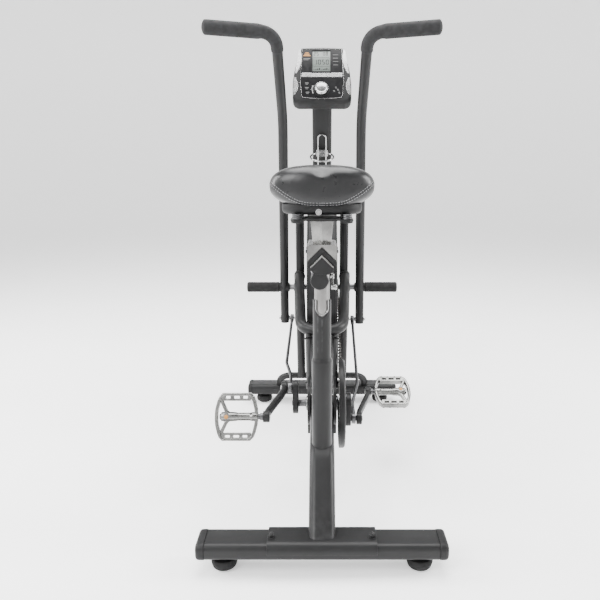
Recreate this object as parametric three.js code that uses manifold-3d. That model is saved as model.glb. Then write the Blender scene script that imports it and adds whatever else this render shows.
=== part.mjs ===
// Air bike: a fan-braked exercise bike with a chain drive and swinging handles.
// Millimetres. +Y is forward, +X is the rider's right, +Z is up; the origin is on the floor.
import * as THREE from "three";
import { mergeVertices } from "three/addons/utils/BufferGeometryUtils.js";
import Module from "manifold-3d";

// ---- Driving dimensions ----
const GAP = 0.3; // clearance between touching pieces
const STAB = { width: 600, depth: 80, height: 42, corner: 15, bottom: 38, cap: 22 };
const REAR_Y = -591; // rear stabilizer, centre line
const FRONT_Y = 450; // front stabilizer, centre line
const FOOT = { x: 236, radius: 31, seat: 19, rim: 22 };
const BB = { y: -222, z: 268.5 }; // crank axis
const PIVOT = { y: 306, z: 507 }; // fan axle and handle pivot
const CAGE = { radius: 330, half: 49, wire: 5 };
const FAN = { radius: 300, half: 36, blades: 10 };
const CHAIN = { x: 56, half: 3, ring: 85, sprocket: 26, depth: 8 };
const GUARD = { radius: 128, inner: 48, outer: 66, wall: 3 };
const PILLAR = { x: 80, radius: 15.5, top: 850 };
const BEAM = { width: 65, depth: 60 };
const SEAT_Y = -430; // seat tube axis
const SEAT_TUBE = { lower: 26, upper: 22.5, step: 470, top: 628, bore: 19.3 };
const POST = { radius: 19, bottom: 372, top: 690 };
const RAIL = { rear: -478, front: -262, apex: 743, eave: 714.5, bottom: 702, half: 28, foot: 22 };
const CARRIAGE = { rear: -470, front: -368, half: 35, top: 767, eave: 727 };
const SADDLE = { half: 125, nose: 33, rear: -470, front: -200, bottom: 846, top: 952 };
const CRANK = { arm: 170, lift: 10.5, throw: 48, lever: 69, leverEnd: 85, pinEnd: 101 };
const PEDAL = { x: 226, width: 114, length: 126, thick: 26, barrel: 13, spindle: 7 };
const HANDLE = { x: 139, radius: 15.5, drop: 120, top: 124 };
const GRIP = { radius: 20, bend: 18, end: 326 };
const ROD = { length: 545, radius: 5, rear: 93, front: 112, eye: 13 };
const PEG = { radius: 19, inner: 157, outer: 276 };
const MAST = { width: 63, depth: 40, foot: [0, 262, 866], head: [0, 135, 1180] };
const CONSOLE = { y: 112, z: 1212, width: 181, height: 196, depth: 44, tilt: 27 };

const wasm = await Module();
wasm.setup();
const radians = THREE.MathUtils.degToRad;
const part = new THREE.Group();
part.name = "air_bike";

// ---- Finishes ----
const FINISH = {
  satin_black: [0x2b2c2e, 0.45, 0.55],
  black_plastic: [0x1b1c1d, 0.6, 0.0],
  rubber: [0x161616, 0.85, 0.0],
  foam: [0x202021, 0.9, 0.0],
  leather: [0x1d1e20, 0.4, 0.0],
  grey_paint: [0x8d8b88, 0.4, 0.4],
  alloy: [0xb9b9b6, 0.32, 0.9],
  chrome: [0xd2d2d0, 0.15, 1.0],
  steel: [0x77777a, 0.4, 0.9],
  glass: [0x8a938d, 0.15, 0.0],
};

function finish(kind) {
  const [color, roughness, metalness] = FINISH[kind];
  return new THREE.MeshStandardMaterial({ color, roughness, metalness, flatShading: true });
}

function add(name, kind, geometry, parent = part) {
  const mesh = new THREE.Mesh(geometry, finish(kind));
  mesh.name = name;
  parent.add(mesh);
  return mesh;
}

// ---- Joining and cutting ----
function solid(geometry) {
  const bare = geometry.clone();
  bare.deleteAttribute("normal");
  bare.deleteAttribute("uv");
  const merged = mergeVertices(bare, 1e-3);
  const vertProperties = new Float32Array(merged.attributes.position.array);
  const triVerts = new Uint32Array(merged.index.array);
  return new wasm.Manifold(new wasm.Mesh({ numProp: 3, vertProperties, triVerts }));
}

function fromSolid(manifold) {
  const mesh = manifold.getMesh();
  const geometry = new THREE.BufferGeometry();
  geometry.setAttribute("position", new THREE.BufferAttribute(mesh.vertProperties, 3));
  geometry.setIndex(new THREE.BufferAttribute(mesh.triVerts, 1));
  geometry.computeVertexNormals();
  return geometry;
}

function join(first, ...others) {
  return fromSolid(others.reduce((whole, next) => whole.add(solid(next)), solid(first)));
}

function cut(first, ...tools) {
  return fromSolid(tools.reduce((whole, next) => whole.subtract(solid(next)), solid(first)));
}

// ---- Outlines ----
function polygon(radius, sides, turn = 0) {
  const points = [];
  for (let i = 0; i < sides; i += 1) {
    const angle = turn + (i * 2 * Math.PI) / sides;
    points.push(new THREE.Vector2(radius * Math.cos(angle), radius * Math.sin(angle)));
  }
  return points;
}

function arcPoints(cx, cy, radius, from, to, steps) {
  const points = [];
  for (let i = 0; i <= steps; i += 1) {
    const angle = radians(from + ((to - from) * i) / steps);
    points.push(new THREE.Vector2(cx + radius * Math.cos(angle), cy + radius * Math.sin(angle)));
  }
  return points;
}

function roundedRect(width, height, corner, steps = 3) {
  const x = width / 2 - corner;
  const y = height / 2 - corner;
  return [
    ...arcPoints(x, y, corner, 0, 90, steps),
    ...arcPoints(-x, y, corner, 90, 180, steps),
    ...arcPoints(-x, -y, corner, 180, 270, steps),
    ...arcPoints(x, -y, corner, 270, 360, steps),
  ];
}

// Outline of a band of one thickness that runs round two discs.
function beltOutline(a, radiusA, b, radiusB, steps) {
  const dx = b.y - a.y;
  const dz = b.z - a.z;
  const heading = THREE.MathUtils.radToDeg(Math.atan2(dz, dx));
  const lean = THREE.MathUtils.radToDeg(Math.asin((radiusA - radiusB) / Math.hypot(dx, dz)));
  const open = 90 - lean;
  return [
    ...arcPoints(a.y, a.z, radiusA, heading + open, heading + 360 - open, steps),
    ...arcPoints(b.y, b.z, radiusB, heading - open, heading + open, Math.ceil(steps / 2)),
  ];
}

// ---- Solids ----
function prism(points, depth, holes = []) {
  const shape = new THREE.Shape(points);
  for (const hole of holes) shape.holes.push(new THREE.Path(hole));
  return new THREE.ExtrudeGeometry(shape, { depth, bevelEnabled: false, steps: 1 });
}

// Extrusion settings for edges rounded inside the outline.
function rounding(thickness, size, segments) {
  return {
    bevelEnabled: true,
    bevelThickness: thickness,
    bevelSize: size,
    bevelOffset: -size,
    bevelSegments: segments,
  };
}

// A prism along X; its outline is drawn in Y and Z.
function prismX(points, x0, x1, holes = []) {
  const turn = new THREE.Matrix4().makeBasis(
    new THREE.Vector3(0, 1, 0),
    new THREE.Vector3(0, 0, 1),
    new THREE.Vector3(1, 0, 0),
  );
  return prism(points, x1 - x0, holes).applyMatrix4(turn).translate(x0, 0, 0);
}

// A prism along Y; its outline is drawn in X and Z.
function prismY(points, y0, y1, holes = []) {
  return prism(points, y1 - y0, holes).rotateX(Math.PI / 2).translate(0, y1, 0);
}

function box(x0, x1, y0, y1, z0, z1) {
  return new THREE.BoxGeometry(x1 - x0, y1 - y0, z1 - z0)
    .translate((x0 + x1) / 2, (y0 + y1) / 2, (z0 + z1) / 2);
}

// A turned piece about X through (y, z); each profile point is [radius, x], along +X outside.
function turnedX(profile, y, z, sides = 20) {
  const points = profile.map(([radius, x]) => new THREE.Vector2(radius, x));
  return new THREE.LatheGeometry(points, sides).rotateZ(-Math.PI / 2).translate(0, y, z);
}

// A turned piece about a vertical axis; each profile point is [radius, z], upwards outside.
function turnedZ(profile, x, y, sides = 20) {
  const points = profile.map(([radius, z]) => new THREE.Vector2(radius, z));
  return new THREE.LatheGeometry(points, sides).rotateX(Math.PI / 2).translate(x, y, 0);
}

function barrelX(radius, x0, x1, y, z, sides = 16) {
  const [low, high] = x0 < x1 ? [x0, x1] : [x1, x0];
  return turnedX([[0, low], [radius, low], [radius, high], [0, high]], y, z, sides);
}

function barrelZ(radius, z0, z1, x, y, sides = 20) {
  return turnedZ([[0, z0], [radius, z0], [radius, z1], [0, z1]], x, y, sides);
}

// Two distances from the middle plane as a rising pair of X values on one side.
function outward(side, near, far) {
  return side > 0 ? [near, far] : [-far, -near];
}

// A route of straight runs with a round bend at each inner corner.
function route(corners, bend, stepDegrees = 12) {
  const nodes = corners.map((corner) => new THREE.Vector3(...corner));
  const points = [nodes[0]];
  for (let i = 1; i < nodes.length - 1; i += 1) {
    const radius = Array.isArray(bend) ? bend[i - 1] : bend;
    const back = nodes[i - 1].clone().sub(nodes[i]).normalize();
    const ahead = nodes[i + 1].clone().sub(nodes[i]).normalize();
    const between = back.angleTo(ahead);
    const turn = Math.PI - between;
    if (turn > 1e-3) {
      const reach = radius * Math.tan(turn / 2);
      const middle = back.clone().add(ahead).normalize();
      const centre = nodes[i].clone().addScaledVector(middle, radius / Math.cos(turn / 2));
      const steps = Math.max(1, Math.round(THREE.MathUtils.radToDeg(turn) / stepDegrees));
      const start = nodes[i].clone().addScaledVector(back, reach).sub(centre);
      const axis = back.clone().cross(ahead).normalize().negate();
      for (let k = 0; k <= steps; k += 1) {
        points.push(start.clone().applyAxisAngle(axis, (turn * k) / steps).add(centre));
      }
    }
  }
  points.push(nodes[nodes.length - 1]);
  return points;
}

// A curve that an extrusion follows exactly from point to point.
class Track extends THREE.Curve {
  constructor(points) {
    super();
    this.points = points;
  }

  getPoint(t, target = new THREE.Vector3()) {
    return target.copy(this.points[Math.round(t * (this.points.length - 1))]);
  }

  getPointAt(t, target) {
    return this.getPoint(t, target);
  }

  getTangentAt(t, target = new THREE.Vector3()) {
    const last = this.points.length - 1;
    const i = Math.round(t * last);
    const before = this.points[i].clone().sub(this.points[Math.max(0, i - 1)]).normalize();
    const after = this.points[Math.min(last, i + 1)].clone().sub(this.points[i]).normalize();
    return target.copy(before).add(after).normalize();
  }
}

function sweep(outline, points) {
  return new THREE.ExtrudeGeometry(new THREE.Shape(outline), {
    steps: points.length - 1,
    extrudePath: new Track(points),
    bevelEnabled: false,
  });
}

function tube(corners, radius, bend = 60, sides = 12) {
  return sweep(polygon(radius, sides), route(corners, bend));
}

const SIDES = [["left", -1], ["right", 1]];

// ---- Stabilizers and feet ----
function stabilizer(name, y, reach) {
  const middle = STAB.bottom + STAB.height / 2;
  const section = roundedRect(STAB.depth, STAB.height, STAB.corner, 3);
  add(name, "satin_black", prismX(section, -reach, reach).translate(0, y, middle));
}

function foot(name, x, y) {
  const top = STAB.bottom - GAP;
  const profile = [
    [0, 0], [FOOT.seat, 0], [28, 6], [FOOT.radius, 15], [FOOT.radius, FOOT.rim],
    [26, 28], [12, 28], [12, top], [0, top],
  ];
  add(name, "rubber", turnedZ(profile, x, y, 16));
}

function stabilizerCap(name, side) {
  const section = roundedRect(STAB.depth + 2, STAB.height + 2, STAB.corner + 1, 3);
  const start = STAB.width / 2 - STAB.cap + GAP;
  const shape = new THREE.Shape(section);
  const blank = new THREE.ExtrudeGeometry(shape, { depth: 26, ...rounding(7, 7, 2) }).rotateY(Math.PI / 2);
  blank.rotateX(Math.PI / 2).translate(STAB.width / 2 - 33, 0, 0);
  const trimmed = cut(blank, box(0, start, -60, 60, -60, 60));
  const mesh = add(name, "black_plastic", trimmed);
  mesh.rotation.z = side > 0 ? 0 : Math.PI;
  mesh.position.set(0, REAR_Y, STAB.bottom + STAB.height / 2);
}

stabilizer("rear_stabilizer", REAR_Y, STAB.width / 2 - STAB.cap);
stabilizer("front_stabilizer", FRONT_Y, STAB.width / 2);
for (const [label, side] of SIDES) {
  stabilizerCap(`rear_cap_${label}`, side);
  foot(`rear_foot_${label}`, side * FOOT.x, REAR_Y);
  foot(`front_foot_${label}`, side * FOOT.x, FRONT_Y);
}

// Folded plate that carries the main beam and wraps the rear edge of the stabilizer.
const plateTop = STAB.bottom + STAB.height + GAP + 5;
const bendY = REAR_Y - STAB.depth / 2 + STAB.corner;
const bendZ = STAB.bottom + STAB.height - STAB.corner;
const bracketSection = [
  ...arcPoints(bendY, bendZ, STAB.corner + GAP, 90, 180, 4),
  new THREE.Vector2(bendY - STAB.corner - GAP, bendZ - 6),
  new THREE.Vector2(bendY - STAB.corner - GAP - 5, bendZ - 6),
  ...arcPoints(bendY, bendZ, STAB.corner + GAP + 5, 180, 90, 4),
  new THREE.Vector2(REAR_Y + 32, plateTop),
  new THREE.Vector2(REAR_Y + 32, plateTop - 5),
];
add("rear_bracket", "satin_black", prismX(bracketSection.reverse(), -130, 130));

// ---- Main frame ----
const beamRoute = route([[0, -612, 44], [0, -440, 217], [0, -214, 262]], 90, 10);
const beamSection = roundedRect(BEAM.width, BEAM.depth, 18, 3);
const beamGrown = sweep(roundedRect(BEAM.width + 2 * GAP, BEAM.depth + 2 * GAP, 18 + GAP, 3), beamRoute);
const shellRadius = 24;
const shellGrown = barrelX(shellRadius + GAP, -60, 60, BB.y, BB.z, 24);
add("main_beam", "satin_black", cut(
  sweep(beamSection, beamRoute),
  box(-200, 200, -800, REAR_Y + STAB.depth / 2 + GAP, -50, plateTop + GAP),
  box(-200, 200, BB.y, 0, 0, 500),
  shellGrown,
));

// Bottom bracket: the crank's bearing shell between two side plates.
function bracketPlate(x0, x1, grow = 0) {
  return prismX([
    ...arcPoints(BB.y, BB.z, 62 + grow, 100, 250, 10),
    new THREE.Vector2(BB.y - 10, BB.z - 92 - grow),
    new THREE.Vector2(BB.y + 34 + grow, BB.z - 96 - grow),
    new THREE.Vector2(BB.y + 62 + grow, BB.z - 40),
    new THREE.Vector2(BB.y + 62 + grow, BB.z + 40),
    new THREE.Vector2(BB.y + 44 + grow, BB.z + 66 + grow),
  ], x0, x1);
}
const plateInner = BEAM.width / 2 + GAP;
const shellBore = barrelX(21, -60, 60, BB.y, BB.z, 24);
add("bottom_bracket", "satin_black", cut(
  join(
    barrelX(shellRadius, -plateInner - 9, plateInner + 9, BB.y, BB.z, 20),
    bracketPlate(-plateInner - 9, -plateInner),
    bracketPlate(plateInner, plateInner + 9),
  ),
  shellBore,
));

// Bearing cups, pressed into the shell from each side.
for (const [label, side] of SIDES) {
  const rim = plateInner + 9 + GAP;
  const profile = [
    [10.3, rim - 24], [20.6, rim - 24], [20.6, rim], [22, rim], [22, rim + 3], [19, rim + 5],
    [10.3, rim + 5], [10.3, rim - 24],
  ];
  const cup = turnedX(profile, 0, 0, 20);
  const mesh = add(`bearing_cup_${label}`, "chrome", cup);
  mesh.position.set(0, BB.y, BB.z);
  mesh.rotation.z = side > 0 ? 0 : Math.PI;
}

// Seat tube: a wide sleeve below a narrower tube, with a round-bottomed notch in its rear wall.
const seatBoss = { z: 566, radius: 10, front: SEAT_Y + 42 };
const seatTubeProfile = [
  [0, 150], [SEAT_TUBE.lower, 150], [SEAT_TUBE.lower, SEAT_TUBE.step], [SEAT_TUBE.upper, SEAT_TUBE.step + 10],
  [SEAT_TUBE.upper, SEAT_TUBE.top], [SEAT_TUBE.bore, SEAT_TUBE.top], [SEAT_TUBE.bore, POST.bottom - 30],
  [0, POST.bottom - 30],
];
const notch = [
  new THREE.Vector2(15, 700), new THREE.Vector2(-15, 700),
  ...arcPoints(0, 603, 15, 180, 360, 8),
];
const pinBoss = new THREE.CylinderGeometry(seatBoss.radius, seatBoss.radius, 20, 12)
  .translate(0, seatBoss.front - 10, seatBoss.z);
const pinBore = new THREE.CylinderGeometry(5.3, 5.3, 60, 12).translate(0, SEAT_Y + 48, seatBoss.z);
add("seat_tube", "satin_black", cut(
  join(turnedZ(seatTubeProfile, 0, SEAT_Y, 24), pinBoss),
  beamGrown,
  box(-60, 60, -600, -200, 0, 215),
  prismY(notch, SEAT_Y - 40, SEAT_Y),
  pinBore,
));

// Tubes of the frame ahead of the seat tube.
const seatTubeGrown = barrelZ(SEAT_TUBE.lower + GAP, 300, SEAT_TUBE.step + GAP, 0, SEAT_Y, 24);
const wishboneCorners = [
  [-84, 300, 555], [-69, -10, 466], [-62, -70, 446],
  [62, -70, 446], [69, -10, 466], [84, 300, 555],
];
const wishboneRoute = route(wishboneCorners, [200, 52, 52, 200], 18);
const pillarRoute = (side) => route([
  [side * PILLAR.x, 362, 140],
  [side * PILLAR.x, PIVOT.y, 330],
  [side * PILLAR.x, PIVOT.y, PILLAR.top],
  [side * 16, 286, 925],
], [260, 60], 12);
const hoopRoute = route([[-170, 440, 70], [-170, 392, 131], [170, 392, 131], [170, 440, 70]], 46, 20);
const stabilizerHull = roundedRect(STAB.depth + 2 * GAP, STAB.height + 2 * GAP, STAB.corner, 3);
const stabilizerGrown = prismX(stabilizerHull, -300, 300)
  .translate(0, FRONT_Y, STAB.bottom + STAB.height / 2);

const grownWishbone = sweep(polygon(18 + GAP, 12), wishboneRoute);
const axleBore = barrelX(10 + GAP, -150, 150, PIVOT.y, PIVOT.z, 16);
const hoopGrown = sweep(polygon(12.5 + GAP, 12), hoopRoute);
const pillarGrown = {};
for (const [label, side] of SIDES) {
  pillarGrown[label] = sweep(polygon(PILLAR.radius + GAP, 12), pillarRoute(side));
  const crossing = box(side > 0 ? -50 : 0, side > 0 ? 0 : 50, 0, 500, 800, 1000);
  add(`pillar_${label}`, "satin_black", cut(
    sweep(polygon(PILLAR.radius, 12), pillarRoute(side)),
    axleBore,
    hoopGrown,
    crossing,
    box(side > 0 ? 0 : -GAP, side > 0 ? GAP : 0, 0, 500, 800, 1000),
  ));
}
const wishboneTube = sweep(polygon(18, 12), wishboneRoute);
add("wishbone", "satin_black", cut(wishboneTube, pillarGrown.left, pillarGrown.right));
add("front_hoop", "satin_black", cut(sweep(polygon(12.5, 12), hoopRoute), stabilizerGrown));
add("top_tube", "satin_black", cut(
  tube([[0, SEAT_Y, 438], [0, -70, 446]], 20, 10, 18),
  seatTubeGrown,
  grownWishbone,
));
add("lower_tube", "satin_black", cut(
  sweep(roundedRect(40, 38, 10, 2), [new THREE.Vector3(0, BB.y + 70, 226), new THREE.Vector3(0, 440, 58)]),
  stabilizerGrown,
));

const plateGrown = bracketPlate(-45, 45, GAP);
for (const [label, side] of SIDES) {
  add(`stay_${label}`, "satin_black", cut(
    tube([[side * 42, -66, 436], [side * 37, -168, 330], [side * 37, BB.y + 30, 300]], 10, 40, 10),
    grownWishbone,
    plateGrown,
  ));
}

// ---- Mast ----
const mastFoot = new THREE.Vector3(...MAST.foot);
const mastHead = new THREE.Vector3(...MAST.head);
const mastLean = Math.atan2(mastFoot.y - mastHead.y, mastHead.z - mastFoot.z);
const consoleBack = new THREE.BoxGeometry(400, 400, 400)
  .translate(0, CONSOLE.depth / 2 + GAP - 200, 0)
  .rotateX(-radians(CONSOLE.tilt))
  .translate(0, CONSOLE.y, CONSOLE.z);
add("mast", "satin_black", cut(
  sweep(roundedRect(MAST.width, MAST.depth, 12, 3), [mastFoot, mastHead]),
  pillarGrown.left,
  pillarGrown.right,
  consoleBack,
));

// Wire holder for a bottle on the mast's rear face; its frame leans with the mast.
const WIRE = 3;
const holderWire = route([
  [-16, -104, -50], [-16, -104, -72], [-16, -32, -72], [-16, -32, 68],
  [16, -32, 68], [16, -32, -72], [16, -104, -72], [16, -104, -50],
], [8, 8, 15.5, 15.5, 8, 8], 30);
const ringProfile = polygon(WIRE, 5).map((point) => [38 + point.x, point.y]);
const holderRing = turnedZ([...ringProfile, ringProfile[0]], 0, -66, 18);
const holder = add("bottle_holder", "chrome", join(
  sweep(polygon(WIRE, 5), holderWire),
  holderRing,
  box(-19, 19, -34, -MAST.depth / 2 - GAP, -12, 12),
));
holder.rotation.x = mastLean;
holder.position.copy(mastFoot).lerp(mastHead, 0.42);

// ---- Console ----
const consoleGroup = new THREE.Group();
consoleGroup.position.set(0, CONSOLE.y, CONSOLE.z);
consoleGroup.rotation.x = -radians(CONSOLE.tilt);
part.add(consoleGroup);
const faceTop = CONSOLE.height / 2;
const faceHalf = CONSOLE.width / 2;
const faceOutline = [
  ...arcPoints(faceHalf - 22, -faceTop + 22, 22, -90, 0, 4),
  new THREE.Vector2(faceHalf, -24),
  ...arcPoints(72 - 12, faceTop - 12, 12, 10, 90, 3),
  ...arcPoints(-72 + 12, faceTop - 12, 12, 90, 170, 3),
  new THREE.Vector2(-faceHalf, -24),
  ...arcPoints(-faceHalf + 22, -faceTop + 22, 22, 180, 270, 4),
];
const housingShape = new THREE.Shape(faceOutline);
const housingBlank = new THREE.ExtrudeGeometry(housingShape, {
  depth: CONSOLE.depth - 12,
  ...rounding(6, 6, 2),
}).rotateX(Math.PI / 2).translate(0, CONSOLE.depth / 2 - 6, 0);
const faceY = -CONSOLE.depth / 2;
const display = { x0: -31, x1: 27, z0: 5.5, z1: 83 };
const knob = { x: -2, z: -55, radius: 21 };
const knobSeat = new THREE.CylinderGeometry(6.3, 6.3, 20, 16).translate(knob.x, faceY + 4, knob.z);
add("console_housing", "black_plastic", cut(
  housingBlank,
  box(display.x0 - GAP, display.x1 + GAP, faceY - 5, faceY + 5, display.z0 - GAP, display.z1 + GAP),
  knobSeat,
), consoleGroup);
add("console_display", "glass",
  box(display.x0, display.x1, faceY + 0.6, faceY + 5 - GAP, display.z0, display.z1), consoleGroup);
const knobProfile = [[0, -12], [6, -12], [6, 0.6], [knob.radius, 0.6], [knob.radius, 10], [18, 15], [0, 16]];
const knobShape = new THREE.LatheGeometry(knobProfile.map(([r, y]) => new THREE.Vector2(r, y)), 24);
const knobMesh = add("console_knob", "chrome", knobShape, consoleGroup);
knobMesh.position.set(knob.x, faceY, knob.z);
knobMesh.rotation.x = Math.PI;

// ---- Fan, cage and axle ----
const axleHalf = 160;
const axleProfile = [
  [0, -axleHalf], [10, -axleHalf], [10, -104], [15, -104], [15, -97], [10, -97],
  [10, 97], [15, 97], [15, 104], [10, 104], [10, axleHalf], [0, axleHalf],
];
add("fan_axle", "steel", turnedX(axleProfile, PIVOT.y, PIVOT.z, 16));

for (const [label, side] of SIDES) {
  const profile = [
    [10 + GAP, PEG.inner], [17, PEG.inner], [PEG.radius, PEG.inner + 3], [PEG.radius, PEG.outer - 6],
    [PEG.radius - 4, PEG.outer], [0, PEG.outer], [0, axleHalf + GAP], [10 + GAP, axleHalf + GAP],
    [10 + GAP, PEG.inner],
  ];
  const peg = add(`foot_peg_${label}`, "rubber", turnedX(profile, 0, 0, 18));
  peg.position.set(0, PIVOT.y, PIVOT.z);
  peg.rotation.z = side > 0 ? 0 : Math.PI;
}

// Paddle-bladed wheel: hub, spokes, a stiffening band and flat blades square to the airflow.
function fanWheel() {
  const bore = 10 + GAP;
  const hub = turnedX([[bore, -26], [40, -26], [40, 26], [bore, 26], [bore, -26]], 0, 0, 16);
  const band = turnedX([[168, -5], [172, -5], [172, 5], [168, 5], [168, -5]], 0, 0, 24);
  const pieces = [band];
  for (let i = 0; i < FAN.blades; i += 1) {
    const angle = (i * 2 * Math.PI) / FAN.blades;
    pieces.push(box(-4, 4, 36, 184, -4, 4).rotateX(angle));
    pieces.push(box(-FAN.half, FAN.half, 180, FAN.radius, -1.5, 1.5).rotateX(angle));
  }
  return join(hub, ...pieces);
}
const fan = add("fan_wheel", "steel", fanWheel());
fan.position.set(0, PIVOT.y, PIVOT.z);

// One side grille of the cage: rings tied by spokes to a hub plate.
function grille() {
  const x = CAGE.half - CAGE.wire;
  const ring = (inner, outer, sides) => turnedX([
    [inner, x], [outer, x], [outer, x + CAGE.wire], [inner, x + CAGE.wire], [inner, x],
  ], 0, 0, sides);
  const pieces = [ring(210 - CAGE.wire, 210, 20), ring(18, 78, 16)];
  for (let i = 0; i < 8; i += 1) {
    pieces.push(box(x + 0.5, x + 4.5, 74, CAGE.radius - 3, -2, 2).rotateX(((i + 0.5) * 2 * Math.PI) / 8));
  }
  return join(ring(CAGE.radius - CAGE.wire, CAGE.radius, 36), ...pieces);
}
for (const [label, side] of SIDES) {
  const mesh = add(`cage_${label}`, "satin_black", grille());
  mesh.position.set(0, PIVOT.y, PIVOT.z);
  mesh.rotation.z = side > 0 ? 0 : Math.PI;
}
const rimHalf = CAGE.half - CAGE.wire - GAP;
add("cage_rim", "satin_black", turnedX(
  [[CAGE.radius - 6, -rimHalf], [CAGE.radius - 2, -rimHalf], [CAGE.radius - 2, rimHalf],
    [CAGE.radius - 6, rimHalf], [CAGE.radius - 6, -rimHalf]], PIVOT.y, PIVOT.z, 36));

// ---- Chain drive ----
const boreX = barrelX(10 + GAP, -10, 100, 0, 0, 16);
const ringHoles = [];
for (let i = 0; i < 5; i += 1) {
  const angle = (i * 2 * Math.PI) / 5;
  const middle = new THREE.Vector2(46 * Math.cos(angle), 46 * Math.sin(angle));
  ringHoles.push(polygon(15, 10).map((point) => point.add(middle)));
}
const chainInner = CHAIN.depth / 2 + GAP;
const ringSolid = prismX(polygon(CHAIN.ring - chainInner, 32), CHAIN.x - 2, CHAIN.x + 2, ringHoles);
const chainring = add("chainring", "steel", cut(ringSolid, boreX));
chainring.position.set(0, BB.y, BB.z);

const sprocketRadius = CHAIN.sprocket - chainInner;
const sprocketProfile = [
  [10 + GAP, 26 + GAP], [15, 26 + GAP], [15, CHAIN.x - 3], [sprocketRadius, CHAIN.x - 3],
  [sprocketRadius, CHAIN.x + 3], [10 + GAP, CHAIN.x + 3], [10 + GAP, 26 + GAP],
];
add("fan_sprocket", "steel", turnedX(sprocketProfile, PIVOT.y, PIVOT.z, 20));

const chainHalf = CHAIN.depth / 2;
const chainLoop = (grow, steps) => beltOutline(BB, CHAIN.ring + grow, PIVOT, CHAIN.sprocket + grow, steps);
add("chain", "steel", prismX(
  chainLoop(chainHalf, 26), CHAIN.x - CHAIN.half, CHAIN.x + CHAIN.half, [chainLoop(-chainHalf, 26)]));

const chainHeading = Math.atan2(PIVOT.z - BB.z, PIVOT.y - BB.y);
const guardProfile = [
  [14, GUARD.outer - GUARD.wall], [GUARD.radius - GUARD.wall, GUARD.outer - GUARD.wall],
  [GUARD.radius - GUARD.wall, GUARD.inner], [GUARD.radius, GUARD.inner], [GUARD.radius, GUARD.outer - 2],
  [GUARD.radius - 2, GUARD.outer], [14, GUARD.outer], [14, GUARD.outer - GUARD.wall],
];
const chainExit = box(GUARD.inner - 1, GUARD.outer - 5, 90, 150, -88, 88).rotateX(chainHeading);
const guard = add("chain_guard", "satin_black", cut(turnedX(guardProfile, 0, 0, 30), chainExit));
guard.position.set(0, BB.y, BB.z);

// ---- Cranks, pedals and rods ----
// Platform pedal: an outline with four windows round a spindle barrel.
function pedalBody() {
  const halfX = PEDAL.width / 2;
  const halfY = PEDAL.length / 2;
  const outline = [
    [halfX, 24], [halfX - 16, halfY], [-halfX + 16, halfY], [-halfX, 24],
    [-halfX, -24], [-halfX + 16, -halfY], [halfX - 16, -halfY], [halfX, -24],
  ].map(([x, y]) => new THREE.Vector2(x, y));
  const windows = [];
  for (const sx of [-1, 1]) {
    for (const sy of [-1, 1]) {
      const hole = [[5, 20], [32, 20], [46, 28], [36, 50], [5, 50]];
      const placed = hole.map(([x, y]) => new THREE.Vector2(sx * x, sy * y));
      windows.push(prism(sx * sy > 0 ? placed : placed.reverse(), 60).translate(0, 0, -30));
    }
  }
  const body = prism(outline, PEDAL.thick - 4).translate(0, 0, -(PEDAL.thick - 4) / 2);
  const barrel = barrelX(PEDAL.barrel, -halfX, halfX, 0, 0, 16);
  const bore = barrelX(PEDAL.spindle + GAP, -halfX - 5, 266 + GAP - PEDAL.x, 0, 0, 14);
  return cut(join(body, barrel), bore, ...windows);
}

add("crank_axle", "steel", barrelX(10, -CRANK.lever + GAP, CRANK.lever - GAP, BB.y, BB.z, 16));

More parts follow.
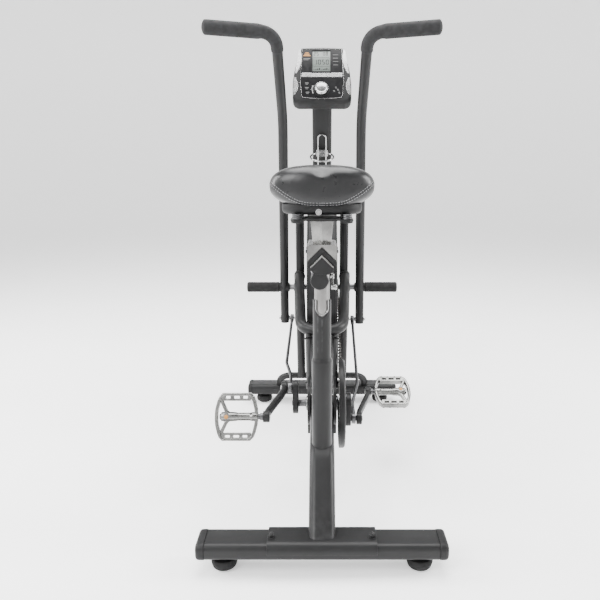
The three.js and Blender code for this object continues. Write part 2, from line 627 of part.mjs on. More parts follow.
const pedalAngle = radians(CRANK.lift);
const rodFront = {};
for (const [label, side] of SIDES) {
  // The left pin stands above the axle and the left pedal is at the rear; the right is opposite.
  const pinZ = BB.z - side * CRANK.throw;
  const pedalY = BB.y + side * CRANK.arm * Math.cos(pedalAngle);
  const pedalZ = BB.z - side * CRANK.arm * Math.sin(pedalAngle);
  const lever = prismX(
    beltOutline(BB, 30, { y: BB.y + 0.01, z: pinZ }, 22, 20), ...outward(side, CRANK.lever, CRANK.leverEnd));
  const pin = barrelX(8, ...outward(side, CRANK.leverEnd - 1, CRANK.pinEnd), BB.y, pinZ, 14);
  add(`crank_lever_${label}`, "satin_black", join(lever, pin));

  const armStart = CRANK.pinEnd + GAP;
  const armRoute = [
    new THREE.Vector3(side * (armStart + 8), BB.y, pinZ),
    new THREE.Vector3(side * (armStart + 10), BB.y + (pedalY - BB.y) * 0.18, pinZ + (pedalZ - pinZ) * 0.18),
    new THREE.Vector3(side * 146, BB.y + (pedalY - BB.y) * 0.88, pinZ + (pedalZ - pinZ) * 0.88),
    new THREE.Vector3(side * 147, pedalY, pedalZ),
  ];
  add(`crank_arm_${label}`, "satin_black", join(
    sweep(roundedRect(15, 24, 5, 2), armRoute),
    barrelX(18, ...outward(side, armStart, armStart + 16), BB.y, pinZ, 18),
    barrelX(15, ...outward(side, 138, 156), pedalY, pedalZ, 18),
    barrelX(PEDAL.spindle, ...outward(side, 150, 266), pedalY, pedalZ, 12),
  ));

  const pedal = add(`pedal_${label}`, "alloy", pedalBody());
  pedal.position.set(side * PEDAL.x, pedalY, pedalZ);
  pedal.rotation.z = side > 0 ? 0 : Math.PI;
  pedal.rotation.x = radians(side > 0 ? 24 : 70);

  // Connecting rod from the crank pin to the foot of the handle.
  const frontZ = PIVOT.z - HANDLE.drop;
  const frontY = BB.y + Math.sqrt(ROD.length ** 2 - (frontZ - pinZ) ** 2);
  rodFront[label] = { y: frontY, z: frontZ };
  const along = (t, x) => [side * x, BB.y + (frontY - BB.y) * t, pinZ + (frontZ - pinZ) * t];
  add(`rod_${label}`, "steel", cut(
    join(
      tube([along(0.015, ROD.rear), along(0.13, ROD.rear), along(0.3, ROD.front), along(0.985, ROD.front)],
        ROD.radius, 60, 10),
      barrelX(16, ...outward(side, ROD.rear - 5.7, ROD.rear + 5.7), BB.y, pinZ, 18),
      barrelX(ROD.eye, ...outward(side, ROD.front - 6, ROD.front + 6), frontY, frontZ, 16),
      barrelX(6, ...outward(side, ROD.front - 11, ROD.front + 9.5), frontY, frontZ, 12),
    ),
    barrelX(8 + GAP, ...outward(side, 60, 120), BB.y, pinZ, 14),
  ));
}

// ---- Handles ----
function handleRoute(side) {
  const foot = rodFront[side > 0 ? "right" : "left"];
  return {
    corners: [
      [side * HANDLE.x, foot.y, PIVOT.z - HANDLE.drop - 16],
      [side * HANDLE.x, PIVOT.y, PIVOT.z],
      [side * HANDLE.top, 110, 1085],
      [side * 128, -85, 1306],
      [side * 318, -126, 1312],
    ],
    bends: [260, 240, 52],
  };
}

for (const [label, side] of SIDES) {
  const { corners, bends } = handleRoute(side);
  const points = route(corners, bends, 14);
  add(`handle_${label}`, "satin_black", cut(
    join(
      sweep(polygon(HANDLE.radius, 12), points),
      barrelX(HANDLE.radius + 1.5, ...outward(side, HANDLE.x - 18, HANDLE.x + 17), PIVOT.y, PIVOT.z, 16),
    ),
    barrelX(10 + GAP, ...outward(side, 100, 180), PIVOT.y, PIVOT.z, 16),
  ));

  // Foam sleeve over the top of the handle, thinner round the bend than along the grip.
  const bendEnd = points.length - 1;
  const lastBend = points.slice(-7);
  const before = points[points.length - 8];
  const startPoint = lastBend[0].clone().lerp(before, 0.12);
  const inner = lastBend[lastBend.length - 2];
  const reach = points[bendEnd].clone().sub(inner).normalize();
  const outerEnd = points[bendEnd].clone().addScaledVector(reach, 8);
  const thick = sweep(polygon(GRIP.radius, 12), [inner, outerEnd]);
  const thinEnd = inner.clone().addScaledVector(reach, 10);
  const thin = sweep(polygon(GRIP.bend, 12), [startPoint, ...lastBend.slice(0, -1), thinEnd]);
  const handleGrown = sweep(polygon(HANDLE.radius + GAP, 12), points);
  add(`grip_${label}`, "foam", cut(join(thick, thin), handleGrown));
}

// ---- Seat post, rail and saddle ----
add("seat_post", "grey_paint", barrelZ(POST.radius, POST.bottom, POST.top, 0, SEAT_Y));

const railSection = [
  [0, RAIL.apex], [-RAIL.half, RAIL.eave], [-RAIL.half, RAIL.eave - 4], [-RAIL.foot, RAIL.bottom],
  [RAIL.foot, RAIL.bottom], [RAIL.half, RAIL.eave - 4], [RAIL.half, RAIL.eave],
].map(([x, z]) => new THREE.Vector2(x, z));
add("seat_rail", "alloy", prismY(railSection, RAIL.rear, RAIL.front));

// Half-round casting between the post and the rail, set a little to the left of the post.
const mountX = -6;
const mountTop = RAIL.bottom - GAP;
const mountSection = [
  new THREE.Vector2(mountX + 22, mountTop),
  new THREE.Vector2(mountX - 22, mountTop),
  ...arcPoints(mountX, 681, 22, 180, 360, 8),
];
const postGrown = barrelZ(POST.radius + GAP, 600, POST.top + GAP, 0, SEAT_Y);
add("rail_mount", "black_plastic", cut(prismY(mountSection, RAIL.rear + 4, -384), postGrown));

const leverSide = POST.radius + 0.7;
const railLever = add("rail_lever", "chrome", join(
  barrelX(8, leverSide, leverSide + 9, 0, 0, 14),
  prismX(roundedRect(54, 9, 4, 2), leverSide + 3, leverSide + 8).translate(0, -25, -3),
  barrelX(7, leverSide + 2, leverSide + 16, -48, -3, 12),
));
railLever.position.set(0, -420, 684);
railLever.rotation.x = radians(20);

const jawGap = 0.6;
const jawSection = [
  [0, CARRIAGE.eave + CARRIAGE.half - GAP - jawGap], [-CARRIAGE.half, CARRIAGE.eave - GAP - jawGap],
  [-CARRIAGE.half, 712], [-RAIL.half - jawGap, 712], [-RAIL.half - jawGap, RAIL.eave + jawGap],
  [0, RAIL.apex + 2 * jawGap], [RAIL.half + jawGap, RAIL.eave + jawGap],
  [RAIL.half + jawGap, 712], [CARRIAGE.half, 712], [CARRIAGE.half, CARRIAGE.eave - GAP - jawGap],
].map(([x, z]) => new THREE.Vector2(x, z));
add("carriage_jaw", "black_plastic", prismY(jawSection, CARRIAGE.rear, CARRIAGE.front));

const blockSection = [
  [-CARRIAGE.half, CARRIAGE.eave], [0, CARRIAGE.eave + CARRIAGE.half], [CARRIAGE.half, CARRIAGE.eave],
  [CARRIAGE.half, CARRIAGE.top], [-CARRIAGE.half, CARRIAGE.top],
].map(([x, z]) => new THREE.Vector2(x, z));
const stemTop = SADDLE.bottom - 24;
const stem = new THREE.CylinderGeometry(25, 32, stemTop - CARRIAGE.top + 1, 6)
  .rotateX(Math.PI / 2).translate(0, SEAT_Y, (stemTop + CARRIAGE.top - 1) / 2);
add("seat_carriage", "alloy", join(
  prismY(blockSection, CARRIAGE.rear + 2, CARRIAGE.front - 2),
  stem,
));

// Saddle seen from above: broad and round at the rear, with a narrow nose in front.
function saddleOutline(spread, inset) {
  const half = SADDLE.half * spread;
  const nose = SADDLE.nose * spread;
  const rear = SADDLE.rear + inset;
  const front = SADDLE.front - inset;
  const right = new THREE.CatmullRomCurve3([
    [0, rear], [half * 0.55, rear + 4], [half * 0.92, rear + 24], [half, rear + 58], [half * 0.8, rear + 104],
    [half * 0.45, rear + 150], [nose + 4, rear + 195], [nose, front - 30], [nose * 0.6, front - 6],
    [0, front],
  ].map(([x, y]) => new THREE.Vector3(x, y, 0)), false, "centripetal").getSpacedPoints(16);
  const left = right.slice(1, -1).reverse().map((point) => new THREE.Vector3(-point.x, point.y, 0));
  return [...right, ...left].map((point) => new THREE.Vector2(point.x, point.y));
}
const saddleHeight = SADDLE.top - SADDLE.bottom - 52;
const saddleShape = new THREE.Shape(saddleOutline(1, 0));
const saddleSolid = new THREE.ExtrudeGeometry(saddleShape, { depth: saddleHeight, ...rounding(26, 22, 3) });
add("saddle", "leather", saddleSolid.translate(0, 0, SADDLE.bottom + 26));
add("saddle_base", "black_plastic", join(
  prism(saddleOutline(0.7, 30), 12).translate(0, 0, SADDLE.bottom - GAP - 12),
  prism(roundedRect(90, 90, 14, 2), 12).translate(0, -428, SADDLE.bottom - 23.5),
));

// Sprung pull pin that locks the seat post, on the front of the seat tube.
const pinProfile = [[0, 0], [5, 0], [5, 20], [15, 20], [17, 24], [17, 36], [12, 42], [0, 42]];
const postPin = add("post_pin", "black_plastic",
  new THREE.LatheGeometry(pinProfile.map(([r, y]) => new THREE.Vector2(r, y)), 16));
postPin.position.set(0, seatBoss.front - 20 + 1, seatBoss.z);

export default part;
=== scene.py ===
"""Looks of the air bike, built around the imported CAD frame. Metres, +Y forward, +Z up."""

import math

import bmesh
import bpy
from mathutils import Matrix, Vector


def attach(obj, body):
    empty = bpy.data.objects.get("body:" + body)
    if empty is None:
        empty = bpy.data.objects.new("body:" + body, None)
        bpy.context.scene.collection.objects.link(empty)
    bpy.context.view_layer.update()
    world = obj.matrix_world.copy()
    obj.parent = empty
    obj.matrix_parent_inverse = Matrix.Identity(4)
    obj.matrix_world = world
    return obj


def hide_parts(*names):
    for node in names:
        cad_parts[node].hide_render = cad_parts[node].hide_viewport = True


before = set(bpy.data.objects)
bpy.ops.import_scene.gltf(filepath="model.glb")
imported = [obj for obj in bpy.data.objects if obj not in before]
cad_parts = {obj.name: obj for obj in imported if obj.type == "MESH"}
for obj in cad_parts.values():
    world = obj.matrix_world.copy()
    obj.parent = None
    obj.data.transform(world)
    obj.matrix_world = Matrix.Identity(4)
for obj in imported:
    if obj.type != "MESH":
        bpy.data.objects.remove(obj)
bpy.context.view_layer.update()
scene = bpy.context.scene

MM = 0.001
X_AXIS, Y_AXIS, Z_AXIS = (1, 0, 0), (0, 1, 0), (0, 0, 1)
# Main places in millimetres: crank and fan axles, rear stabilizer, seat post, post pin
CRANK_Y, CRANK_Z = -222, 268.5
FAN_Y, FAN_Z = 306, 507
CRANK_AXIS, FAN_AXIS = (0, CRANK_Y, CRANK_Z), (0, FAN_Y, FAN_Z)
REAR_Y, POST_Y, PIN_Z = -591, -430, 566
SIDES = (("left", -1), ("right", 1))

# ---- Materials ----
class Nodes:
    """A short way to wire one node material."""

    def __init__(self, name):
        self.material = bpy.data.materials.new(name)
        self.material.use_nodes = True
        self.tree = self.material.node_tree
        self.shader = self.tree.nodes["Principled BSDF"]
        self.where = self.add("ShaderNodeTexCoord").outputs["Object"]

    def add(self, kind, **values):
        node = self.tree.nodes.new(kind)
        for key, value in values.items():
            setattr(node, key, value)
        return node

    def link(self, source, target):
        self.tree.links.new(source, target)

    def noise(self, scale, detail=4.0, rough=0.5, stretch=None):
        node = self.add("ShaderNodeTexNoise")
        node.inputs["Scale"].default_value = scale
        node.inputs["Detail"].default_value = detail
        node.inputs["Roughness"].default_value = rough
        self.link(self.stretched(stretch), node.inputs["Vector"])
        return node.outputs["Fac"]

    def cells(self, scale, feature="F1", stretch=None):
        node = self.add("ShaderNodeTexVoronoi", feature=feature)
        node.inputs["Scale"].default_value = scale
        self.link(self.stretched(stretch), node.inputs["Vector"])
        return node.outputs["Distance"]

    def stretched(self, stretch):
        if stretch is None:
            return self.where
        mapping = self.add("ShaderNodeMapping")
        mapping.inputs["Scale"].default_value = stretch
        self.link(self.where, mapping.inputs["Vector"])
        return mapping.outputs["Vector"]

    def range(self, source, low, high, to_low, to_high):
        node = self.add("ShaderNodeMapRange")
        self.link(source, node.inputs["Value"])
        for key, value in zip(("From Min", "From Max", "To Min", "To Max"), (low, high, to_low, to_high)):
            node.inputs[key].default_value = value
        return node.outputs["Result"]

    def mix(self, factor, dark, light):
        node = self.add("ShaderNodeMix", data_type="RGBA")
        self.link(factor, node.inputs["Factor"])
        for socket, colour in ((node.inputs["A"], dark), (node.inputs["B"], light)):
            if isinstance(colour, tuple):
                socket.default_value = (*colour, 1)
            else:
                self.link(colour, socket)
        return node.outputs["Result"]

    def edges(self, low=0.52, high=0.62):
        """1 along convex edges, where paint and plating wear."""
        geometry = self.add("ShaderNodeNewGeometry")
        return self.range(geometry.outputs["Pointiness"], low, high, 0, 1)

    def multiply(self, a, b):
        node = self.add("ShaderNodeMath", operation="MULTIPLY")
        self.link(a, node.inputs[0])
        self.link(b, node.inputs[1])
        return node.outputs["Value"]

    def set(self, **values):
        for key, value in values.items():
            self.shader.inputs[key.replace("_", " ")].default_value = value

    def colour(self, source):
        self.link(source, self.shader.inputs["Base Color"])

    def roughness(self, source):
        self.link(source, self.shader.inputs["Roughness"])

    def bump(self, source, strength, distance):
        node = self.add("ShaderNodeBump")
        node.inputs["Strength"].default_value = strength
        node.inputs["Distance"].default_value = distance
        last = self.shader.inputs["Normal"]
        if last.is_linked:
            self.link(last.links[0].from_socket, node.inputs["Normal"])
        self.link(source, node.inputs["Height"])
        self.link(node.outputs["Normal"], last)


def powder_coat(name, dark, light, grain=900.0):
    """Satin powder coat: fine orange peel, cloudy tone and paler rubbed edges."""
    n = Nodes(name)
    cloud = n.noise(9, 5, 0.55)
    worn = n.multiply(n.edges(0.55, 0.66), n.range(n.noise(60, 3), 0.4, 0.7, 0, 0.4))
    base = n.mix(n.range(cloud, 0.25, 0.75, 0, 1), dark, light)
    n.colour(n.mix(worn, base, (0.07, 0.07, 0.072)))
    n.roughness(n.range(n.noise(45, 4), 0.3, 0.7, 0.34, 0.42))
    n.set(Specular_IOR_Level=0.19)
    n.bump(n.noise(grain, 2), 0.12, 0.0002)
    return n.material


def plastic(name, dark, light, rough=(0.42, 0.56), grain=2200.0, strength=0.25):
    """Moulded plastic with a spark-eroded grain."""
    n = Nodes(name)
    n.colour(n.mix(n.range(n.noise(30, 4), 0.3, 0.7, 0, 1), dark, light))
    n.roughness(n.range(n.noise(120, 3), 0.3, 0.7, *rough))
    n.set(Specular_IOR_Level=0.19)
    n.bump(n.cells(grain), strength, 0.0001)
    n.bump(n.noise(8, 2), 0.05, 0.0006)
    return n.material


def rubber(name, dark, light, pores=1500.0):
    """Matt rubber with fine pores."""
    n = Nodes(name)
    n.colour(n.mix(n.range(n.noise(55, 6, 0.65), 0.35, 0.7, 0, 1), dark, light))
    n.roughness(n.range(n.noise(90, 4), 0.3, 0.7, 0.68, 0.88))
    n.set(Specular_IOR_Level=0.25)
    n.bump(n.cells(pores), 0.35, 0.00018)
    n.bump(n.noise(400, 4), 0.2, 0.0002)
    return n.material


def metal(name, dark, light, rough=(0.2, 0.34), brushed=(1, 1, 1), scale=300.0, strength=0.06, edge=None):
    """Bare or plated metal; brushed stretches the fine scratches along one direction."""
    n = Nodes(name)
    base = n.mix(n.range(n.noise(20, 5, 0.6), 0.3, 0.7, 0, 1), dark, light)
    if edge:
        base = n.mix(n.edges(0.52, 0.58), base, edge)
    n.colour(base)
    scratches = n.noise(scale, 4, 0.6, brushed)
    n.roughness(n.range(scratches, 0.3, 0.7, *rough))
    n.set(Metallic=1.0)
    n.bump(scratches, strength, 0.0001)
    return n.material


def leather(name):
    """Black vinyl: pebbled grain of two sizes, faint creases and a semi-gloss top coat."""
    n = Nodes(name)
    n.colour(n.mix(n.range(n.noise(26, 6, 0.6), 0.3, 0.7, 0, 1), (0.006, 0.006, 0.0065),
        (0.01, 0.01, 0.0105)))
    n.roughness(n.range(n.noise(70, 5), 0.3, 0.7, 0.26, 0.36))
    n.set(Coat_Weight=0.06, Coat_Roughness=0.3, Specular_IOR_Level=0.3)
    n.bump(n.cells(620), 0.2, 0.0003)
    n.bump(n.cells(1500), 0.12, 0.0002)
    n.bump(n.noise(38, 5, 0.6), 0.12, 0.0012)
    return n.material


def thread(name):
    """Grey twisted thread."""
    n = Nodes(name)
    n.colour(n.mix(n.range(n.noise(900, 3), 0.3, 0.7, 0, 1), (0.16, 0.16, 0.165), (0.3, 0.3, 0.31)))
    n.roughness(n.range(n.noise(500, 3), 0.3, 0.7, 0.55, 0.75))
    n.set(Sheen_Weight=0.3)
    n.bump(n.noise(2600, 2), 0.5, 0.0001)
    return n.material


def display_glass(name):
    """Grey-green liquid crystal behind a clear window, with a faint cell grid."""
    n = Nodes(name)
    n.colour(n.mix(n.range(n.cells(500), 0.1, 0.6, 0, 1), (0.075, 0.088, 0.08), (0.12, 0.137, 0.125)))
    n.roughness(n.range(n.noise(40, 3), 0.3, 0.7, 0.08, 0.16))
    n.set(Coat_Weight=0.6, Coat_Roughness=0.04)
    n.bump(n.noise(700, 2), 0.02, 0.0001)
    return n.material


def pale_sheet(name):
    """Matt white paper with a faint mottle, lit a little from behind."""
    n = Nodes(name)
    n.colour(n.mix(n.range(n.noise(3, 3), 0.3, 0.7, 0, 1), (0.93, 0.93, 0.93), (0.96, 0.96, 0.96)))
    n.roughness(n.range(n.noise(12, 3), 0.3, 0.7, 0.8, 0.9))
    n.set(Specular_IOR_Level=0.1, Emission_Color=(1, 1, 1, 1), Emission_Strength=0.5)
    return n.material


MAT = {
    "satin_black": powder_coat("satin_black", (0.009, 0.009, 0.0092), (0.0125, 0.0125, 0.0128)),
    "cage_paint": powder_coat("cage_paint", (0.008, 0.008, 0.0082), (0.011, 0.011, 0.0113), 700),
    "black_plastic": plastic("black_plastic", (0.007, 0.007, 0.0073), (0.0115, 0.0115, 0.0118)),
    "gloss_plastic": plastic("gloss_plastic", (0.006, 0.006, 0.0065), (0.01, 0.01, 0.0105), (0.1, 0.18),
    1200, 0.03),
    "rubber": rubber("rubber", (0.008, 0.008, 0.008), (0.015, 0.015, 0.015)),
    "foam": rubber("foam", (0.011, 0.011, 0.0115), (0.019, 0.019, 0.02), 2600),
    "saddle_vinyl": leather("saddle_vinyl"),
    "thread": thread("thread"),
    "post_silver": metal("post_silver", (0.2, 0.195, 0.19), (0.26, 0.255, 0.25), (0.34, 0.46),
    (1, 1, 0.05), 500),
    "alloy": metal("alloy", (0.12, 0.119, 0.117), (0.26, 0.258, 0.25), (0.16, 0.3), (1, 0.04, 0.2), 420),
    "pedal_alloy": metal("pedal_alloy", (0.1, 0.1, 0.098), (0.26, 0.26, 0.25), (0.18, 0.32), (1, 1, 1),
    160, 0.06),
    "chrome": metal("chrome", (0.26, 0.26, 0.26), (0.36, 0.36, 0.36), (0.06, 0.14), (1, 1, 1), 200, 0.02),
    "steel": metal("steel", (0.07, 0.07, 0.072), (0.13, 0.13, 0.133), (0.26, 0.42), (0.1, 1, 1), 380, 0.08),
    "chain_steel": metal("chain_steel", (0.05, 0.049, 0.047), (0.11, 0.106, 0.1), (0.25, 0.5), (1, 1, 1),
    300, 0.1),
    "display": display_glass("display"),
    "white_print": plastic("white_print", (0.13, 0.13, 0.13), (0.2, 0.2, 0.2), (0.35, 0.5), 900, 0.05),
    "amber_print": plastic("amber_print", (0.36, 0.17, 0.05), (0.45, 0.22, 0.07), (0.35, 0.5), 900, 0.05),
    "floor": pale_sheet("floor"),
    "silver_trim": metal("silver_trim", (0.3, 0.3, 0.3), (0.46, 0.46, 0.46), (0.14, 0.24), (1, 1, 1), 200,
        0.03),
}

# ---- Mesh making ----
def mm(*values):
    """A vector in metres from millimetres."""
    return Vector(values) * MM


def mesh_object(name, verts, faces, sharp=35):
    """A smooth-shaded object with its edges sharp beyond an angle in degrees."""
    mesh = bpy.data.meshes.new(name)
    mesh.from_pydata([tuple(v) for v in verts], [], faces)
    mesh.validate()
    for polygon in mesh.polygons:
        polygon.use_smooth = True
    mesh.set_sharp_from_angle(angle=math.radians(sharp))
    obj = bpy.data.objects.new(name, mesh)
    scene.collection.objects.link(obj)
    return obj


def bevel(obj, width, segments=3, angle=35):
    """Rounds the edges sharper than an angle by width millimetres, as a modifier."""
    mod = obj.modifiers.new("edge", "BEVEL")
    mod.width = width * MM
    mod.segments = segments
    mod.limit_method = "ANGLE"
    mod.angle_limit = math.radians(angle)
    mod.harden_normals = True
    return obj


def dress(obj, material, body, replaces=()):
    """Gives a piece its material, its body and the CAD nodes that it stands for."""
    obj.data.materials.clear()
    obj.data.materials.append(MAT[material])
    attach(obj, body)
    if replaces:
        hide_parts(*([replaces] if isinstance(replaces, str) else replaces))
    return obj


def route(corners, bends, step=5.0):
    """Points in metres along straight runs with a round bend at each inner corner; input in mm."""
    nodes = [mm(*c) for c in corners]
    points = [nodes[0]]
    for i in range(1, len(nodes) - 1):
        radius = (bends[i - 1] if isinstance(bends, (list, tuple)) else bends) * MM
        back = (nodes[i - 1] - nodes[i]).normalized()
        ahead = (nodes[i + 1] - nodes[i]).normalized()
        turn = math.pi - back.angle(ahead)
        if turn < 1e-3:
            continue
        reach = radius * math.tan(turn / 2)
        centre = nodes[i] + (back + ahead).normalized() * (radius / math.cos(turn / 2))
        start = nodes[i] + back * reach - centre
        axis = -back.cross(ahead).normalized()
        steps = max(2, round(math.degrees(turn) / step))
        for k in range(steps + 1):
            points.append(Matrix.Rotation(turn * k / steps, 3, axis) @ start + centre)
    points.append(nodes[-1])
    return points


def sweep_data(outline, points, closed=False):
    """Vertices and faces of an outline, in metres, carried along points without twist."""
    count = len(points)
    tangents = []
    for i in range(count):
        if closed:
            before, after = points[i] - points[i - 1], points[(i + 1) % count] - points[i]
        else:
            before = points[i] - points[max(0, i - 1)]
            after = points[min(count - 1, i + 1)] - points[i]
        tangents.append((before.normalized() + after.normalized()).normalized())
    lean = min(range(3), key=lambda a: abs(tangents[0][a]))
    side = Vector([1.0 if a == lean else 0.0 for a in range(3)])
    side = (side - tangents[0] * side.dot(tangents[0])).normalized()
    verts = []
    for point, tangent in zip(points, tangents):
        side = (side - tangent * side.dot(tangent)).normalized()
        other = tangent.cross(side)
        verts += [point + side * x + other * y for x, y in outline]
    n = len(outline)
    faces = []
    for i in range(count if closed else count - 1):
        a, b = i * n, ((i + 1) % count) * n
        faces += [(a + j, a + (j + 1) % n, b + (j + 1) % n, b + j) for j in range(n)]
    if not closed:
        faces += [tuple(reversed(range(n))), tuple(range((count - 1) * n, count * n))]
    return verts, faces


def ring_outline(radius, sides=32):
    """A circle as an outline in metres; radius in mm."""
    turn = 2 * math.pi / sides
    return [(radius * MM * math.cos(turn * i), radius * MM * math.sin(turn * i)) for i in range(sides)]


def round_rect(width, height, corner, steps=6):
    """A rounded rectangle as an outline in metres; sizes in mm."""
    points = []
    for cx, cy, start in ((1, 1, 0), (-1, 1, 90), (-1, -1, 180), (1, -1, 270)):
        for k in range(steps + 1):
            angle = math.radians(start + 90 * k / steps)
            x = cx * (width / 2 - corner) + corner * math.cos(angle)
            y = cy * (height / 2 - corner) + corner * math.sin(angle)
            points.append((x * MM, y * MM))
    return points


def tube(name, corners, radius, bends=60, sides=32, edge=1.2, step=5.0):
    """A round tube through corners in mm with softened ends."""
    verts, faces = sweep_data(ring_outline(radius, sides), route(corners, bends, step))
    obj = mesh_object(name, verts, faces, 40)
    return bevel(obj, edge, 2, 60) if edge else obj


def bar(name, outline, corners, bends=60, edge=1.0):
    """An outline, in metres, swept through corners in mm."""
    verts, faces = sweep_data(outline, route(corners, bends))
    obj = mesh_object(name, verts, faces, 40)
    return bevel(obj, edge, 2, 60) if edge else obj


def turn_matrix(axis, centre):
    """Takes +Z to the given axis and the origin to centre (mm)."""
    return Matrix.Translation(mm(*centre)) @ Vector(Z_AXIS).rotation_difference(Vector(axis)).to_matrix(
        ).to_4x4()


def lathe(name, profile, centre, axis=Z_AXIS, sides=48, sharp=35):
    """A turned piece: profile points are (radius, along) in mm, from one end to the other."""
    verts, rows = [], []
    for radius, along in profile:
        if radius < 1e-6:
            rows.append([len(verts)])
            verts.append(Vector((0, 0, along * MM)))
        else:
            rows.append([len(verts) + i for i in range(sides)])
            for i in range(sides):
                angle = 2 * math.pi * i / sides
                verts.append(Vector((radius * math.cos(angle), radius * math.sin(angle), along)) * MM)
    faces = []
    pairs = list(zip(rows, rows[1:]))
    if len(rows[0]) > 1:
        pairs.append((rows[-1], rows[0]))
    for low, high in pairs:
        for i in range(sides):
            j = (i + 1) % sides
            if len(low) == 1 and len(high) == 1:
                continue
            if len(low) == 1:
                faces.append((low[0], high[j], high[i]))
            elif len(high) == 1:
                faces.append((low[i], low[j], high[0]))
            else:
                faces.append((low[i], low[j], high[j], high[i]))
    obj = mesh_object(name, verts, faces, sharp)
    obj.data.transform(turn_matrix(axis, centre))
    return obj


def rounded(profile, radius=1.0, steps=3):
    """A profile whose inner corners are rounded by radius millimetres."""
    points = [Vector(p) for p in profile]
    out = [points[0]]
    for before, here, after in zip(points, points[1:], points[2:]):
        reach = min(radius, (before - here).length / 2.2, (after - here).length / 2.2)
        a = here + (before - here).normalized() * reach
        b = here + (after - here).normalized() * reach
        for k in range(steps + 1):
            t = k / steps
            out.append(a * (1 - t) ** 2 + here * 2 * t * (1 - t) + b * t**2)
    out.append(points[-1])
    return [(p.x, p.y) for p in out]


AXES = {
    "X": Matrix(((0, 0, 1), (1, 0, 0), (0, 1, 0))).to_4x4(),
    "Y": Matrix(((1, 0, 0), (0, 0, 1), (0, 1, 0))).to_4x4(),
    "Z": Matrix.Identity(4),
}


def plate(name, outline, axis, low, high, edge=0.8, holes=(), sharp=35):
    """A flat piece: outline in mm in the plane across axis (X: y,z; Y: x,z; Z: x,y)."""
    bm = bmesh.new()
    loops = []
    for loop in (outline, *holes):
        ring = [bm.verts.new((x, y, 0)) for x, y in loop]
        loops += [bm.edges.new((a, b)) for a, b in zip(ring, ring[1:] + ring[:1])]
    bmesh.ops.triangle_fill(bm, use_beauty=True, use_dissolve=False, edges=loops)
    for face in bm.faces:
        if face.normal.z < 0:
            face.normal_flip()
    bmesh.ops.dissolve_limit(bm, angle_limit=0.01, verts=bm.verts, edges=bm.edges)
    base = list(bm.faces)
    made = bmesh.ops.extrude_face_region(bm, geom=base)
    for vert in (v for v in made["geom"] if isinstance(v, bmesh.types.BMVert)):
        vert.co.z = high - low
    bmesh.ops.reverse_faces(bm, faces=base)
    bmesh.ops.translate(bm, verts=bm.verts, vec=(0, 0, low))
    bmesh.ops.transform(bm, matrix=AXES[axis] @ Matrix.Scale(MM, 4), verts=bm.verts)
    bmesh.ops.recalc_face_normals(bm, faces=bm.faces)
    mesh = bpy.data.meshes.new(name)
    bm.to_mesh(mesh)
    bm.free()
    for polygon in mesh.polygons:
        polygon.use_smooth = True
    mesh.set_sharp_from_angle(angle=math.radians(sharp))
    obj = bpy.data.objects.new(name, mesh)
    scene.collection.objects.link(obj)
    return bevel(obj, edge, 2, 30) if edge else obj


def arc(cx, cy, radius, start, end, steps=8):
    """Points along an arc, its angles in degrees."""
    points = []
    for k in range(steps + 1):
        angle = math.radians(start + (end - start) * k / steps)
        points.append((cx + radius * math.cos(angle), cy + radius * math.sin(angle)))
    return points


def merge(name, *objects):
    """Joins finished meshes into one piece, with their modifiers applied."""
    bm = bmesh.new()
    graph = bpy.context.evaluated_depsgraph_get()
    for obj in objects:
        bpy.context.view_layer.update()
        made = obj.evaluated_get(graph).to_mesh()
        made.transform(obj.matrix_world)
        bm.from_mesh(made)
    mesh = bpy.data.meshes.new(name)
    bm.to_mesh(mesh)
    bm.free()
    for obj in objects:
        bpy.data.objects.remove(obj)
    piece = bpy.data.objects.new(name, mesh)
    scene.collection.objects.link(piece)
    return piece


def hex_bolt(name, centre, axis, across, height, shank=0, washer=True):
    """A hexagon head on a washer, its axis pointing out of the work (mm)."""
    head = lathe(name + "_head", [(0, 1.6), (across * 0.56, 1.6), (across * 0.577, 2.2),
        (across * 0.577, height), (across * 0.5, height + 0.9), (0, height + 0.9)], centre, axis, 6, 20)
    parts = [head]
    if washer:
        parts.append(lathe(name + "_washer", [(0, 0), (across * 0.8, 0), (across * 0.8, 1.4), (0, 1.6)],
            centre, axis, 32, 30))
    if shank:
        parts.append(lathe(name + "_shank", [(0, -shank), (across * 0.3, -shank), (across * 0.3, 1),
            (0, 1)],
            centre, axis, 20, 30))
    return merge(name, *parts)


def weld_bead(name, centre, axis, radius, thickness=2.2):
    """A rippled bead of weld round a tube where it meets its neighbour (mm)."""
    steps = 72
    verts, faces = [], []
    sides = 8
    for i in range(steps):
        angle = 2 * math.pi * i / steps
        swell = thickness * (1 + 0.16 * math.sin(angle * 24))
        for j in range(sides):
            turn = 2 * math.pi * j / sides
            reach = radius + swell * math.cos(turn)
            verts.append(mm(reach * math.cos(angle), reach * math.sin(angle), swell * math.sin(turn)))
    for i in range(steps):
        for j in range(sides):
            a, b = i * sides, (i + 1) % steps * sides
            k = (j + 1) % sides
            faces.append((a + j, b + j, b + k, a + k))
    obj = mesh_object(name, verts, faces, 60)
    obj.data.transform(turn_matrix(axis, centre))
    return obj


def inset(points, distance):
    """A closed outline (x, y in mm) drawn inwards by distance."""
    count = len(points)
    area = sum(points[i - 1][0] * points[i][1] - points[i][0] * points[i - 1][1] for i in range(count))
    turn = 1 if area > 0 else -1
    result = []
    for i in range(count):
        x, y = points[i]
        dx = points[(i + 1) % count][0] - points[i - 1][0]
        dy = points[(i + 1) % count][1] - points[i - 1][1]
        length = math.hypot(dx, dy) or 1
        result.append((x - turn * distance * dy / length, y + turn * distance * dx / length))
    return result


